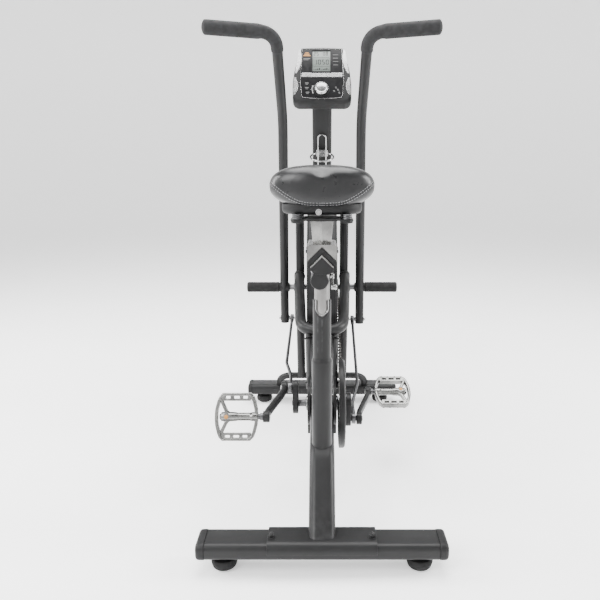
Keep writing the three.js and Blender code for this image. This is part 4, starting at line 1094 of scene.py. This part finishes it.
# ---- Handles ----
for label, side in SIDES:
    z = pin_z[label]
    front_y = CRANK_Y + math.sqrt(545**2 - (387 - z) ** 2)
    corners = [(side * 139, front_y, 371), (side * 139, *FAN_AXIS[1:]), (side * 124, 110, 1085),
        (side * 128, -85, 1306),
        (side * 318, -126, 1312)]
    arm = tube(f"handle_tube_{label}", corners, 15.5, [260, 240, 52], 40, 0)
    collar = lathe(f"handle_collar_{label}", rounded([(10.3, 121), (17, 121), (17, 156), (10.3, 156)], 1.2),
        FAN_AXIS, (side, 0, 0), 48)
    plug = tube(f"handle_plug_{label}", [(side * 139, front_y - 0.3, 372.5), (side * 139, front_y - 0.7,
        369.6)], 13.8, 10, 32, 1.0)
    dress(merge(f"handle_{label}_bend", arm, collar, plug), "satin_black", f"handle_{label}",
        f"handle_{label}")
    pivot_ring = lathe(f"pivot_bush_{label}", rounded([(10.3, 118.6), (14.6, 118.6), (14.6, 121.2),
        (10.3, 121.2)], 0.5),
        FAN_AXIS, (side, 0, 0), 40)
    dress(pivot_ring, "black_plastic", f"handle_{label}")
    foot_bolt = hex_bolt(f"foot_bolt_{label}", (side * 154.4, front_y, 387), (side, 0, 0), 11, 6)
    dress(foot_bolt, "chrome", f"handle_{label}")
    foot_pin = lathe(f"foot_pin_{label}", rounded([(0, 119), (7.5, 119), (7.5, 126), (0, 126)], 0.5),
        (0, front_y, 387),
        (side, 0, 0), 32)
    dress(foot_pin, "steel", f"handle_{label}")

    points = route(corners, [260, 240, 52])
    bend_start = len(points) - 2
    while (points[bend_start] - points[bend_start - 1]).length < 0.02:
        bend_start -= 1
    inner = points[bend_start] + (points[bend_start - 1] - points[bend_start]).normalized() * 0.012
    reach = (points[-1] - points[-2]).normalized()
    centre = [inner, *points[bend_start:-1], points[-1] + reach * 0.008]
    stations, passed = [], 0.0
    for k, here in enumerate(centre):
        passed += (here - centre[k - 1]).length if k else 0
        stations.append((here, passed))
    length = stations[-1][1]
    straight = passed - (centre[-1] - centre[-2]).length
    fine = []
    for distance in [0.0, 0.0005, 0.0015, 0.003,
        *[0.006 * k for k in range(1, int((length - 0.012) / 0.006))],
            length - 0.009, length - 0.006, length - 0.0035, length - 0.0016, length - 0.0004, length]:
        k = max(i for i in range(len(stations)) if stations[i][1] <= distance + 1e-9)
        k = min(k, len(stations) - 2)
        span = stations[k + 1][1] - stations[k][1]
        fine.append((stations[k][0].lerp(stations[k + 1][0], (distance - stations[k][1]) / span), distance))
    sections = []
    up = Vector(Y_AXIS)
    for k, (here, distance) in enumerate(fine):
        tangent = (fine[min(k + 1, len(fine) - 1)][0] - fine[max(k - 1, 0)][0]).normalized()
        up = (up - tangent * up.dot(tangent)).normalized()
        other = tangent.cross(up)
        swell = 18 + 2 * min(1, max(0, (distance - straight + 0.002) / 0.004))
        swell -= 2.2 * max(0, 1 - distance / 0.003) ** 2
        tail = max(0, (0.01 - (length - distance)) / 0.01)
        swell *= math.sqrt(max(0.04, 1 - tail**2)) if tail > 0.05 else 1
        sections.append([here + (up * math.cos(a) + other * math.sin(a)) * swell * MM
            for a in (2 * math.pi * j / 36 for j in range(36))])
    dress(loft(f"grip_sleeve_{label}", sections, 50), "foam", f"handle_{label}", f"grip_{label}")

# ---- Seat post, rail and carriage ----
post_profile = [(0, 372), (17, 372), (19, 374)]
for k in range(7):
    z = 400 + k * 32
    post_profile += [(19, z), (18.4, z + 0.7), (18.4, z + 1.7), (19, z + 2.4)]
post_profile += [(19, 688), (18.2, 690), (0, 690)]
post = lathe("seat_post_tube", post_profile, (0, POST_Y, 0), Z_AXIS, 72, 30)
dress(post, "post_silver", "seat_post", "seat_post")

rail_edge = [(0, 743), (-28, 714.5), (-28, 710.5), (-25, 706), (-22, 702), (-9, 702), (-9, 704.5),
    (9, 704.5), (9, 702),
    (22, 702), (25, 706), (28, 710.5), (28, 714.5)]
rail = plate("seat_rail_extrusion", rail_edge, "Y", -474, -266, 0.8)
dress(rail, "alloy", "seat_post", "seat_rail")
for name, low, high in (("rear", -478, -473.8), ("front", -266.2, -262)):
    edge = [(0, 738), (-25, 713), (-28.6, 713), (-28.6, 710), (-22, 701.4), (-14, 697), (13, 697),
        (22, 701.4),
        (28.6, 710), (28.6, 713), (25, 713)]
    dress(plate(f"rail_cap_{name}", edge, "Y", low, high, 1.0), "black_plastic", "seat_post")

head = [(8, 701.6), (-20, 701.6), (-22, 696), (-26, 688), *arc(-6, 681, 21.5, 180, 360, 24), (14, 688),
    (10, 696)]
mount = plate("rail_mount_casting", head, "Y", -474, -384, 2.6)
dress(mount, "black_plastic", "seat_post", "rail_mount")
for x in (-22, 11):
    stud = lathe(f"mount_stud_{x}", rounded([(0, 0), (4.4, 0), (4.4, 5), (3, 6.6), (0, 7)], 0.8),
        (x, -470, 705),
        (0, -1, 0), 24)
    dress(stud, "chrome", "seat_post")

lever_turn = Matrix.Translation(mm(0, -420, 684)) @ Matrix.Rotation(math.radians(20), 4, "X")
lever_hub = lathe("lever_hub", rounded([(0, 19.8), (8, 19.8), (8, 28.2), (6.6, 29.6), (0, 29.8)], 0.8),
    (0, 0, 0),
    X_AXIS, 36)
blade_edge = [(a / MM - 25, b / MM - 3) for a, b in round_rect(54, 9, 4.2, 6)]
lever_blade = plate("lever_blade", blade_edge, "X", 23.2, 27.6, 1.2)
lever_knob = lathe("lever_knob", rounded([(0, 21.8), (6, 21.8), (7, 24), (7, 33), (5.4, 35.4), (0, 35.7)],
    1.2),
    (0, -48, -3), X_AXIS, 36)
dress(place(merge("rail_lever_bar", lever_hub, lever_blade, lever_knob), lever_turn), "chrome",
    "rail_lever", "rail_lever")

jaw_edge = [(0, 760.6), (-34.6, 726.6), (-34.6, 713), (-33.4, 712), (-28.8, 712), (-28.8, 715),
    (0, 744.3), (28.8, 715),
    (28.8, 712), (33.4, 712), (34.6, 713), (34.6, 726.6)]
dress(plate("carriage_clamp", jaw_edge, "Y", -470, -368, 0.9), "black_plastic", "saddle", "carriage_jaw")
block_edge = [(-34.6, 727.4), (0, 761.6), (34.6, 727.4), (34.6, 764), (31.5, 767), (-31.5, 767),
    (-34.6, 764)]
block = plate("carriage_block", block_edge, "Y", -468, -370, 0.9)
stem = lathe("carriage_stem", [(0, 765), (25, 765), (25.6, 768), (31, 818), (31, 822), (0, 822)],
    (0, POST_Y, 0), Z_AXIS, 6, 20)
place(stem, Matrix.Translation(mm(0, POST_Y, 0)) @ Matrix.Rotation(math.radians(30), 4,
    "Z") @ Matrix.Translation(mm(0, -POST_Y, 0)))
bevel(stem, 1.6, 3, 25)
dress(merge("seat_carriage_body", block, stem), "alloy", "saddle", "seat_carriage")
for side in (-1, 1):
    for y in (-448, -390):
        bolt = hex_bolt(f"carriage_bolt_{side}_{y}", (side * 34.4, y, 748), (side, 0, 0), 7, 4)
        dress(bolt, "steel", "saddle")

# ---- Post pin ----
pin_profile = [(0, 0), (5, 0), (5, 20), (13, 20.6), (15.4, 22)]
knob = lathe("post_pin_core", rounded([*pin_profile, (15.4, 36), (12, 41), (7, 42), (0, 42)], 0.9),
    (0, -407, PIN_Z), Y_AXIS, 48)
ribs = []
for k in range(18):
    a = 2 * math.pi * k / 18
    x, z = 15.2 * math.cos(a), PIN_Z + 15.2 * math.sin(a)
    ribs.append(tube(f"knob_rib_{k}", [(x, -384.5, z), (x, -372, z)], 1.8, 10, 8, 0.8))
dress(merge("post_pin_knob", knob, *ribs), "black_plastic", "post_pin", "post_pin")

# ---- Saddle ----
WIDTHS = ((-470, 22), (-469, 36), (-467, 50), (-463, 68), (-457, 85), (-449, 100), (-438, 113), (-424, 122),
    (-408, 124.5), (-390, 119), (-368, 103), (-344, 80), (-320, 60), (-296, 47), (-272, 40), (-246, 36),
    (-226, 33), (-212, 28), (-204, 22), (-200, 12))
HEIGHTS = ((-470, 10), (-469, 17), (-467, 24), (-463, 31), (-457, 38), (-449, 43.5), (-438, 47.5),
    (-424, 49.5),
    (-370, 48), (-300, 43), (-250, 38), (-225, 33), (-210, 26), (-203, 19), (-200, 12))
DEPTHS = ((-470, 20), (-469, 30), (-467, 38), (-463, 43), (-457, 46.5), (-449, 49), (-424, 51),
    (-370, 49.5),
    (-300, 44), (-250, 39), (-225, 34), (-210, 27), (-203, 20), (-200, 12))


def curve_value(table, at):
    """A smooth value read from (position, value) pairs."""
    for (x0, y0), (x1, y1) in zip(table, table[1:]):
        if at <= x1:
            t = (at - x0) / (x1 - x0)
            return y0 + (y1 - y0) * t
    return table[-1][1]


def saddle_section(share, ring=72):
    """One closed cross-section in mm at a share of the length, 0 at the rear."""
    y = -335 - 134 * math.cos(math.pi * share)
    half = 1.025 * curve_value(WIDTHS, y)
    rise = curve_value(HEIGHTS, y)
    level = 897 - 9 * min(1, max(0, (y + 420) / 220)) + (4 if y < -420 else 4 * max(0, (-y - 380) / 40))
    rear_slope = min(1, max(0, (y + 468) / 8)) * min(1, max(0.12, (-428 - y) / 20))
    points = []
    for j in range(ring):
        turn = 2 * math.pi * j / ring
        c, s = math.cos(turn), math.sin(turn)
        x = half * math.copysign(abs(c) ** 0.72, c)
        if s >= 0:
            z = level + rise * abs(s) ** 0.8
            z -= 11 * max(0.0, 1 - (x / 27) ** 2) ** 2 * rear_slope
        else:
            x = half * math.copysign(abs(c) ** 0.5, c) * (1 - 0.2 * abs(s) ** 2.4)
            z = level - curve_value(DEPTHS, y) * abs(s) ** 0.9
        points.append(mm(x, y, z))
    return points


def saddle_blank(name):
    """The closed form that the cover is cut from."""
    return loft(name, [saddle_section(k / 46) for k in range(47)], 80)


def seam_guide(count=110):
    """Rough seam points: low across the back, up to the widest part, then along the side to the nose."""
    path = ((0, -474, 852), (30, -473, 853), (54, -470, 858), (72, -466, 868), (90, -457, 882),
        (107, -445, 896),
        (121, -428, 908), (128, -408, 912), (119, -380, 909), (100, -352, 904), (73, -322, 899),
        (53, -292, 895),
        (42, -262, 892), (36, -232, 890), (26, -208, 889), (0, -197, 888))
    points = [Vector(p) for p in path]
    spans = [(b - a).length for a, b in zip(points, points[1:])]
    total, result = sum(spans), []
    for k in range(count):
        target = total * k / (count - 1)
        i = 0
        while i < len(spans) - 1 and target > spans[i]:
            target -= spans[i]
            i += 1
        t = min(1, target / spans[i])
        p0, p1, p2, p3 = points[max(0, i - 1)], points[i], points[i + 1], points[min(len(points) - 1,
            i + 2)]
        result.append(0.5 * (2 * p1 + (p2 - p0) * t + (2 * p0 - 5 * p1 + 4 * p2 - p3) * t**2
            + (3 * p1 - p0 - 3 * p2 + p3) * t**3))
    left = [Vector((-p.x, p.y, p.z)) for p in reversed(result[1:-1])]
    return [p * MM for p in result + left]


def bake(obj):
    """Turns the object's modifiers into plain mesh."""
    bpy.context.view_layer.update()
    made = bpy.data.meshes.new_from_object(obj.evaluated_get(bpy.context.evaluated_depsgraph_get()))
    obj.modifiers.clear()
    obj.data = made


def inflate(obj, seam):
    """Stuffs the cover: cloth under pressure, held along its seam and its flat underside."""
    held = obj.vertex_groups.new(name="held")
    for vert in obj.data.vertices:
        near = min((vert.co - p).length_squared for p in seam)
        grip = 1.0 if vert.co.z < 0.8545 else max(0.0, 1 - math.sqrt(near) / 0.006)
        if grip > 0:
            held.add([vert.index], grip, "REPLACE")
    mod = obj.modifiers.new("stuffing", "CLOTH")
    cloth = mod.settings
    cloth.quality = 6
    cloth.mass = 0.3
    cloth.tension_stiffness = 18
    cloth.compression_stiffness = 18
    cloth.shear_stiffness = 8
    cloth.bending_stiffness = 1.2
    cloth.use_pressure = True
    cloth.uniform_pressure_force = 4
    cloth.vertex_group_mass = "held"
    cloth.effector_weights.gravity = 0
    mod.point_cache.frame_start = 1
    mod.point_cache.frame_end = 20
    for number in range(1, 21):
        scene.frame_set(number)
    bake(obj)
    scene.frame_set(1)


def saddle_cover():
    """The padded cover, remeshed evenly, inflated and smoothed."""
    obj = saddle_blank("saddle_cover")
    mod = obj.modifiers.new("grid", "REMESH")
    mod.mode = "VOXEL"
    mod.voxel_size = 0.0048
    mod.use_smooth_shade = True
    smooth = obj.modifiers.new("relax", "SMOOTH")
    smooth.factor = 0.5
    smooth.iterations = 12
    bake(obj)
    seam = seam_guide(70)
    inflate(obj, seam)
    settle = obj.modifiers.new("settle", "SMOOTH")
    settle.factor = 0.5
    settle.iterations = 3
    fine = obj.modifiers.new("fine", "SUBSURF")
    fine.levels = fine.render_levels = 1
    bake(obj)
    for polygon in obj.data.polygons:
        polygon.use_smooth = True
    return obj


cover = saddle_cover()


def on_cover(points):
    """The closest places on the cover, with the outward direction there."""
    result = []
    for p in points:
        _, place_on, normal, _ = cover.closest_point_on_mesh(p)
        result.append((place_on, normal))
    return result


def seam_line(name, spots, depth):
    """A closed round cord half sunk in the cover along its seam."""
    verts, sides = [], 8
    count = len(spots)
    for i, (here, normal) in enumerate(spots):
        ahead = (spots[(i + 1) % count][0] - spots[i - 1][0]).normalized()
        across = ahead.cross(normal).normalized()
        for j in range(sides):
            a = 2 * math.pi * j / sides
            verts.append(here + (across * math.cos(a) + normal * (math.sin(a) - 0.35)) * depth * MM)
    return ring_skin(name, verts, sides)


def stitches(name, spots, offset):
    """Separate short stitches along a line beside the seam."""
    parts = []
    count = len(spots)
    for i in range(0, count, 2):
        here, normal = spots[i]
        ahead = (spots[(i + 1) % count][0] - spots[i - 1][0]).normalized()
        across = ahead.cross(normal).normalized()
        _, middle, up, _ = cover.closest_point_on_mesh(here + across * offset * MM)
        verts, faces = [], []
        for step, (along_mm, lift, thick) in enumerate(((-2.3, -0.3, 0.25), (-1.7, 0.25, 0.55),
            (-0.8, 0.5, 0.62),
                (0.8, 0.5, 0.62), (1.7, 0.25, 0.55), (2.3, -0.3, 0.25))):
            for j in range(6):
                a = 2 * math.pi * j / 6
                verts.append(middle + (ahead * along_mm + up * (lift + thick * math.sin(a))
                    + across * thick * math.cos(a)) * MM)
            if step:
                a, b = (step - 1) * 6, step * 6
                faces += [(a + j, a + (j + 1) % 6, b + (j + 1) % 6, b + j) for j in range(6)]
        faces += [tuple(range(6)), tuple(range(35, 29, -1))]
        stitch = mesh_object(f"{name}_{i}", verts, faces, 80)
        fix_normals(stitch)
        parts.append(stitch)
    return merge(name, *parts)


seam_spots = on_cover(seam_guide(124))
piping = seam_line("saddle_seam", seam_spots, 1.3)
outer_row = stitches("saddle_stitch_lower", seam_spots, 3.4)
inner_row = stitches("saddle_stitch_upper", seam_spots, -3.4)
dress(cover, "saddle_vinyl", "saddle", "saddle")
dress(piping, "saddle_vinyl", "saddle")
dress(outer_row, "thread", "saddle")
dress(inner_row, "thread", "saddle")

# ---- Saddle pan and springs ----
pan_outline = []
for k in range(33):
    y = -456 + 232 * (1 - math.cos(math.pi * k / 32)) / 2
    pan_outline.append((0.82 * curve_value(WIDTHS, y) * math.sin(math.pi * max(0.02,
        min(0.98, k / 32))) ** 0.25, y))
pan_outline += [(-x, y) for x, y in reversed(pan_outline)]
pan_sections = []
for z, shrink in ((835, 14), (835.2, 9), (837, 4), (842, 0.5), (850, 0), (859, 1)):
    pan_sections.append([mm(x, y, z) for x, y in inset(pan_outline, shrink)])
pan = loft("saddle_pan", pan_sections, 50)
dress(pan, "black_plastic", "saddle", "saddle_base")
yoke = plate("saddle_yoke", [(a / MM, b / MM - 428) for a, b in round_rect(92, 88, 14, 6)], "Z", 822.5,
    827.5, 1.2)
dress(yoke, "satin_black", "saddle")


def coil(name, x, y, low, high, radius, turns, thick):
    """A coil spring on an upright axis (mm)."""
    steps = turns * 28
    points = [mm(x + radius * math.cos(2 * math.pi * i / 28), y + radius * math.sin(2 * math.pi * i / 28),
        low + (high - low) * i / steps) for i in range(steps + 1)]
    verts, faces = sweep_data(ring_outline(thick, 10), points)
    return mesh_object(name, verts, faces, 60)


for side in (-1, 1):
    for y in (-452, -404):
        spring = coil(f"saddle_spring_{side}_{-y}", side * 58, y, 824, 837, 11, 3, 2.1)
        dress(spring, "steel", "saddle")
        seat = lathe(f"spring_seat_{side}_{-y}", rounded([(0, 816), (13, 816), (15, 818), (15, 822.8),
            (0, 822.8)], 1),
            (side * 58, y, 0), Z_AXIS, 36)
        dress(seat, "black_plastic", "saddle")
    wing = plate(f"yoke_wing_{side}", [(side * 40, -466), (side * 66, -466), (side * 74, -458),
        (side * 74, -398),
        (side * 66, -390), (side * 40, -390)], "Z", 821.6, 825.4, 1.0)
    dress(wing, "satin_black", "saddle")
rear_bolt = hex_bolt("pan_bolt", (-8, -455.6, 842), (0, -1, 0), 9, 4)
dress(rear_bolt, "silver_trim", "saddle")

# ---- Bottle holder ----
holder_move = Matrix.Translation(mm(*mast_foot.lerp(mast_head, 0.42))) @ Matrix.Rotation(mast_lean, 4, "X")
holder_wire = wire("holder_wire", [(-13, -104, -50), (-13, -104, -72), (-13, -32, -72), (-13, -32, 62),
    (13, -32, 62),
    (13, -32, -72), (13, -104, -72), (13, -104, -50)], 2.4, [8, 8, 12.6, 12.6, 8, 8], 16)
ring_verts, ring_faces = sweep_data(ring_outline(3, 14), [mm(38 * math.cos(2 * math.pi * k / 72),
    -66 + 38 * math.sin(2 * math.pi * k / 72), 0) for k in range(72)], True)
holder_ring = mesh_object("holder_ring", ring_verts, ring_faces, 80)
holder_foot = plate("holder_foot", [(a / MM, b / MM) for a, b in round_rect(38, 24, 4, 5)], "Y", -34,
    -20.3, 1.2)
tips = [lathe(f"holder_tip_{x}", rounded([(0, 0), (3.4, 0), (3.4, 7), (2, 8.4), (0, 8.6)], 0.6),
    (x, -104, -56),
    Z_AXIS, 16) for x in (-13, 13)]
holder = place(merge("holder_bent_wire", holder_wire, holder_ring, holder_foot, *tips), holder_move)
dress(holder, "chrome", "frame", "bottle_holder")
for z in (-6, 6):
    screw = hex_bolt(f"holder_screw_{z}", (0, -34, z), (0, -1, 0), 6, 2.6)
    dress(place(screw, holder_move), "steel", "frame")

# ---- Console ----
console_move = Matrix.Translation(mm(0, 112, 1212)) @ Matrix.Rotation(math.radians(-27), 4, "X")
FACE = -22.0  # depth of the console's face
face_outline = [*arc(68.5, -76, 22, -90, 0, 10), (90.5, -24), (87.2, 8), *arc(60, 84, 12, 10, 82, 8),
    (30, 97.6),
    (0, 98), (-30, 97.6), *arc(-60, 84, 12, 98, 170, 8), (-87.2, 8), (-90.5, -24), *arc(-68.5, -76, 22,
    180, 270, 10),
    (-30, -97.8), (30, -97.8)]
shell_sections = []
for depth, shrink in ((22, 9), (21.6, 5), (20, 2), (17, 0.4), (12, 0), (-10, 0), (-15, 0.5), (-18.4, 1.8),
        (-20.6, 4), (-21.7, 7), (-22, 10)):
    shell_sections.append(facing(inset(face_outline, shrink), depth))
shell_body = loft("console_shell_body", shell_sections, 50)
window_tool = plate("window_tool", [(-31, 5.5), (27, 5.5), (27, 83), (-31, 83)], "Y", -30, -17, 0)
shell_body = carve(shell_body, window_tool)
dress(place(shell_body, console_move), "black_plastic", "frame", "console_housing")

panel_outline = [*arc(54, -74, 8, -80, 0, 5), (66, -20), (60.5, 88), (-60.5, 88), (-66, -20),
    *arc(-54, -74, 8, 180, 260, 5), (-28, -85), (0, -86), (28, -85)]
window_hole = [(-29.5, 7), (-29.5, 81.5), (25.5, 81.5), (25.5, 7)]
knob_hole = arc(-2, -55, 23, 0, 350, 35)
panel = plate("console_panel", panel_outline, "Y", -24, -21.6, 0.7, (window_hole, knob_hole))
dress(place(panel, console_move), "gloss_plastic", "frame")
seam_points = [(x, -24.0, z) for x, z in inset(panel_outline, -0.8)]
rim_verts, rim_faces = sweep_data(ring_outline(0.4, 8), [mm(*p) for p in seam_points], True)
dress(place(mesh_object("panel_rim", rim_verts, rim_faces, 80), console_move), "silver_trim", "frame")

glass = plate("console_glass", [(-30.7, 5.8), (26.7, 5.8), (26.7, 82.7), (-30.7, 82.7)], "Y", -21.3,
    -17.4, 0.5)
dress(place(glass, console_move), "display", "frame", "console_display")


def digit(x, z, width, height, lit, thick=1.5):
    """Bars of a seven-segment figure as outlines in (x, z)."""
    half, mid = height / 2, z + height / 2
    bars = {
        "top": (x + thick, z + height - thick, x + width - thick, z + height),
        "middle": (x + thick, mid - thick / 2, x + width - thick, mid + thick / 2),
        "bottom": (x + thick, z, x + width - thick, z + thick),
        "upper_left": (x, mid + 0.4, x + thick, z + height - 0.4),
        "upper_right": (x + width - thick, mid + 0.4, x + width, z + height - 0.4),
        "lower_left": (x, z + 0.4, x + thick, z + half - 0.4),
        "lower_right": (x + width - thick, z + 0.4, x + width, z + half - 0.4),
    }
    order = ("top", "upper_right", "lower_right", "bottom", "lower_left", "upper_left", "middle")
    return [bars[name] for name, on in zip(order, lit) if on == "1"]


def bars_piece(name, boxes, low, high):
    """Flat bars in (x, z) boxes as one piece on the console."""
    parts = []
    for k, (x0, z0, x1, z1) in enumerate(boxes):
        parts.append(plate(f"{name}_{k}", [(x0, z0), (x1, z0), (x1, z1), (x0, z1)], "Y", low, high, 0))
    return place(merge(name, *parts), console_move)


ZERO, ONE, TWO, FIVE, EIGHT = "1111110", "0110000", "1101101", "1011011", "1111111"
figures = []
for x, lit in ((-26, TWO), (-17, FIVE)):
    figures += digit(x, 66, 6.5, 12, lit)
for x, lit in ((3, ZERO), (12, EIGHT)):
    figures += digit(x, 66, 6.5, 12, lit)
for x, lit in ((-24, ONE), (-12, ZERO), (0, FIVE), (12, ZERO)):
    figures += digit(x, 34, 8.5, 17, lit, 2.0)
for k in range(9):
    figures.append((-26 + 5.6 * k, 14, -22.6 + 5.6 * k, 16 + 1.8 * (k % 4)))
figures += [(-27, 59, 23, 59.7), (-27, 27, 23, 27.7)]
dress(bars_piece("display_figures", figures, -21.6, -21.25), "gloss_plastic", "frame")

bar_outline = [(a / MM, b / MM - 5) for a, b in round_rect(126, 15, 2.4, 4)]
silver_bar = plate("console_bar", bar_outline, "Y", -25.4, -23.4, 0.8)
dress(place(silver_bar, console_move), "silver_trim", "frame")
tab_edge = [(-33, 1.5), (29, 1.5), (29, 7.5), (-33, 7.5)]
dress(place(plate("window_sill", tab_edge, "Y", -26.2, -23.6, 0.6), console_move), "gloss_plastic", "frame")
frame_hole = [(-29.8, 6.7), (-29.8, 81.8), (25.8, 81.8), (25.8, 6.7)]
surround = plate("window_surround", [(-33, 3.5), (29, 3.5), (29, 85), (-33, 85)], "Y", -24.9, -23.8, 0.4,
    (frame_hole,))
dress(place(surround, console_move), "gloss_plastic", "frame")

crescent = [*arc(-2, -55, 30, 148, 212, 12), *reversed(arc(-2, -55, 26.5, 152, 208, 12))]
dress(place(plate("knob_crescent", crescent, "Y", -24.8, -23.8, 0.4), console_move), "silver_trim", "frame")
well = lathe("knob_well", rounded([(21.8, 20.2), (25, 20.2), (25, 24.8), (21.8, 24.8)], 0.6),
    (-2, 0, -55), (0, -1, 0), 56)
dress(place(well, console_move), "black_plastic", "frame")

marks = []
for k, (x, z) in enumerate(((-52, -34), (-52, -50), (-50, -66))):
    marks += [(x, z, x + 11, z + 2.4), (x + 1.5, z - 4, x + 9, z - 2.6)]
for x, z in ((34, -60), (40, -48), (46, -56), (50, -66)):
    marks += [(x, z, x + 5, z + 1.8), (x + 1, z - 3.4, x + 6, z - 2.2)]
for k in range(4):
    marks.append((34, 66 - 12 * k, 50, 67.2 - 12 * k))
dress(bars_piece("panel_marks", marks, -24.3, -23.9), "white_print", "frame")
emblem = []
for k, (rise, width) in enumerate(((0, 22), (5, 16), (10, 10))):
    emblem.append((-58 + k * 3, 62 + rise, -58 + k * 3 + width, 65 + rise))
dress(bars_piece("panel_emblem", emblem, -24.3, -23.9), "amber_print", "frame")
dress(bars_piece("panel_rule", [(-58, 52, -37, 53.6), (-58, 48, -42, 49.2)], -24.3, -23.9), "white_print",
    "frame")

for side in (-1, 1):
    for name, z0, z1 in (("upper", 2, 88), ("lower", -72, -12)):
        inner, outer = [], []
        for k in range(13):
            z = z0 + (z1 - z0) * k / 12
            edge = 90.5 - max(0, z + 24) * 0.135 if z < 84 else 76 - (z - 84) * 1.2
            taper = math.sin(math.pi * (0.1 + 0.8 * k / 12))
            outer.append((side * (edge - 3.2), z))
            inner.append((side * (edge - 3.2 - 14 * taper), z))
        strip = plate(f"side_trim_{name}_{side}", outer + inner[::-1], "Y", -22.6, -19.4, 0.8)
        dress(place(strip, console_move), "silver_trim", "frame")

knob_profile = rounded([(0, -12), (6, -12), (6, 0.6), (20.2, 0.6), (21, 1.6), (21, 9), (19, 12.6),
    (17.6, 15), (15.5, 14.2),
    (13, 14.6), (0, 16)], 0.9, 3)
turn_knob = lathe("knob_body", knob_profile, (-2, FACE, -55), (0, -1, 0), 72)
grips = []
for k in range(24):
    a = 2 * math.pi * k / 24
    x, z = -2 + 20.7 * math.cos(a), -55 + 20.7 * math.sin(a)
    grips.append(tube(f"knob_grip_{k}", [(x, FACE - 2, z), (x, FACE - 10, z)], 0.9, 10, 8, 0))
dress(place(merge("console_knob_turned", turn_knob, *grips), console_move), "silver_trim", "console_knob",
    "console_knob")

back_cover = [(a / MM, b / MM) for a, b in round_rect(96, 120, 16, 6)]
dress(place(plate("console_back", back_cover, "Y", 21.6, 24.2, 1.2), console_move), "black_plastic",
    "frame")

# ---- Studio ----
def backdrop(name, floor_radius=9.0, curve=3.0, top=9.0, sides=96):
    """A pale round floor that curves up into a wall on every side, in one sheet."""
    rings = [(floor_radius * k / 4, 0.0) for k in range(1, 5)]
    for k in range(1, 13):
        angle = math.pi / 2 * k / 12
        rings.append((floor_radius + curve * math.sin(angle), curve * (1 - math.cos(angle))))
    rings.append((floor_radius + curve, top))
    verts = [Vector((0, 0, 0))]
    for radius, z in rings:
        for j in range(sides):
            turn = 2 * math.pi * j / sides
            verts.append(Vector((radius * math.cos(turn), radius * math.sin(turn), z)))
    faces = [(0, 1 + j, 1 + (j + 1) % sides) for j in range(sides)]
    for i in range(len(rings) - 1):
        low, high = 1 + i * sides, 1 + (i + 1) * sides
        for j in range(sides):
            k = (j + 1) % sides
            faces.append((low + j, high + j, high + k, low + k))
    obj = mesh_object(name, verts, faces, 60)
    obj.data.materials.append(MAT["floor"])
    return obj


def lamp(name, place_m, aim_m, size, power, colour=(1, 1, 1)):
    data = bpy.data.lights.new(name, "AREA")
    data.shape = "RECTANGLE"
    data.size, data.size_y = size
    data.energy = power
    data.color = colour
    obj = bpy.data.objects.new(name, data)
    obj.location = place_m
    obj.rotation_euler = (Vector(aim_m) - Vector(place_m)).to_track_quat("-Z", "Y").to_euler()
    scene.collection.objects.link(obj)


backdrop("floor_sheet")
lamp("key_softbox", (-2.6, -2.6, 3.4), (0, 0, 0.7), (2.4, 2.4), 250)
lamp("side_strip_left", (-3.2, 0.2, 2.1), (0, -0.1, 0.7), (0.9, 2.2), 170)
lamp("side_strip_right", (3.2, -0.2, 2.1), (0, -0.1, 0.7), (0.9, 2.2), 170)
lamp("top_softbox", (0, 0.2, 3.6), (0, 0, 0.4), (2.6, 2.6), 260)

world = bpy.data.worlds.new("studio_air")
world.use_nodes = True
world.node_tree.nodes["Background"].inputs["Color"].default_value = (1, 1, 1, 1)
world.node_tree.nodes["Background"].inputs["Strength"].default_value = 0.5
scene.world = world

lens = bpy.data.cameras.new("view")
lens.lens = 36
lens.sensor_width = 36
lens.shift_x = -0.0367
camera = bpy.data.objects.new("view", lens)
camera.location = (0, -1.869, 0.954)
camera.rotation_euler = (math.radians(90 - 12.86), 0, 0)
scene.collection.objects.link(camera)
scene.camera = camera
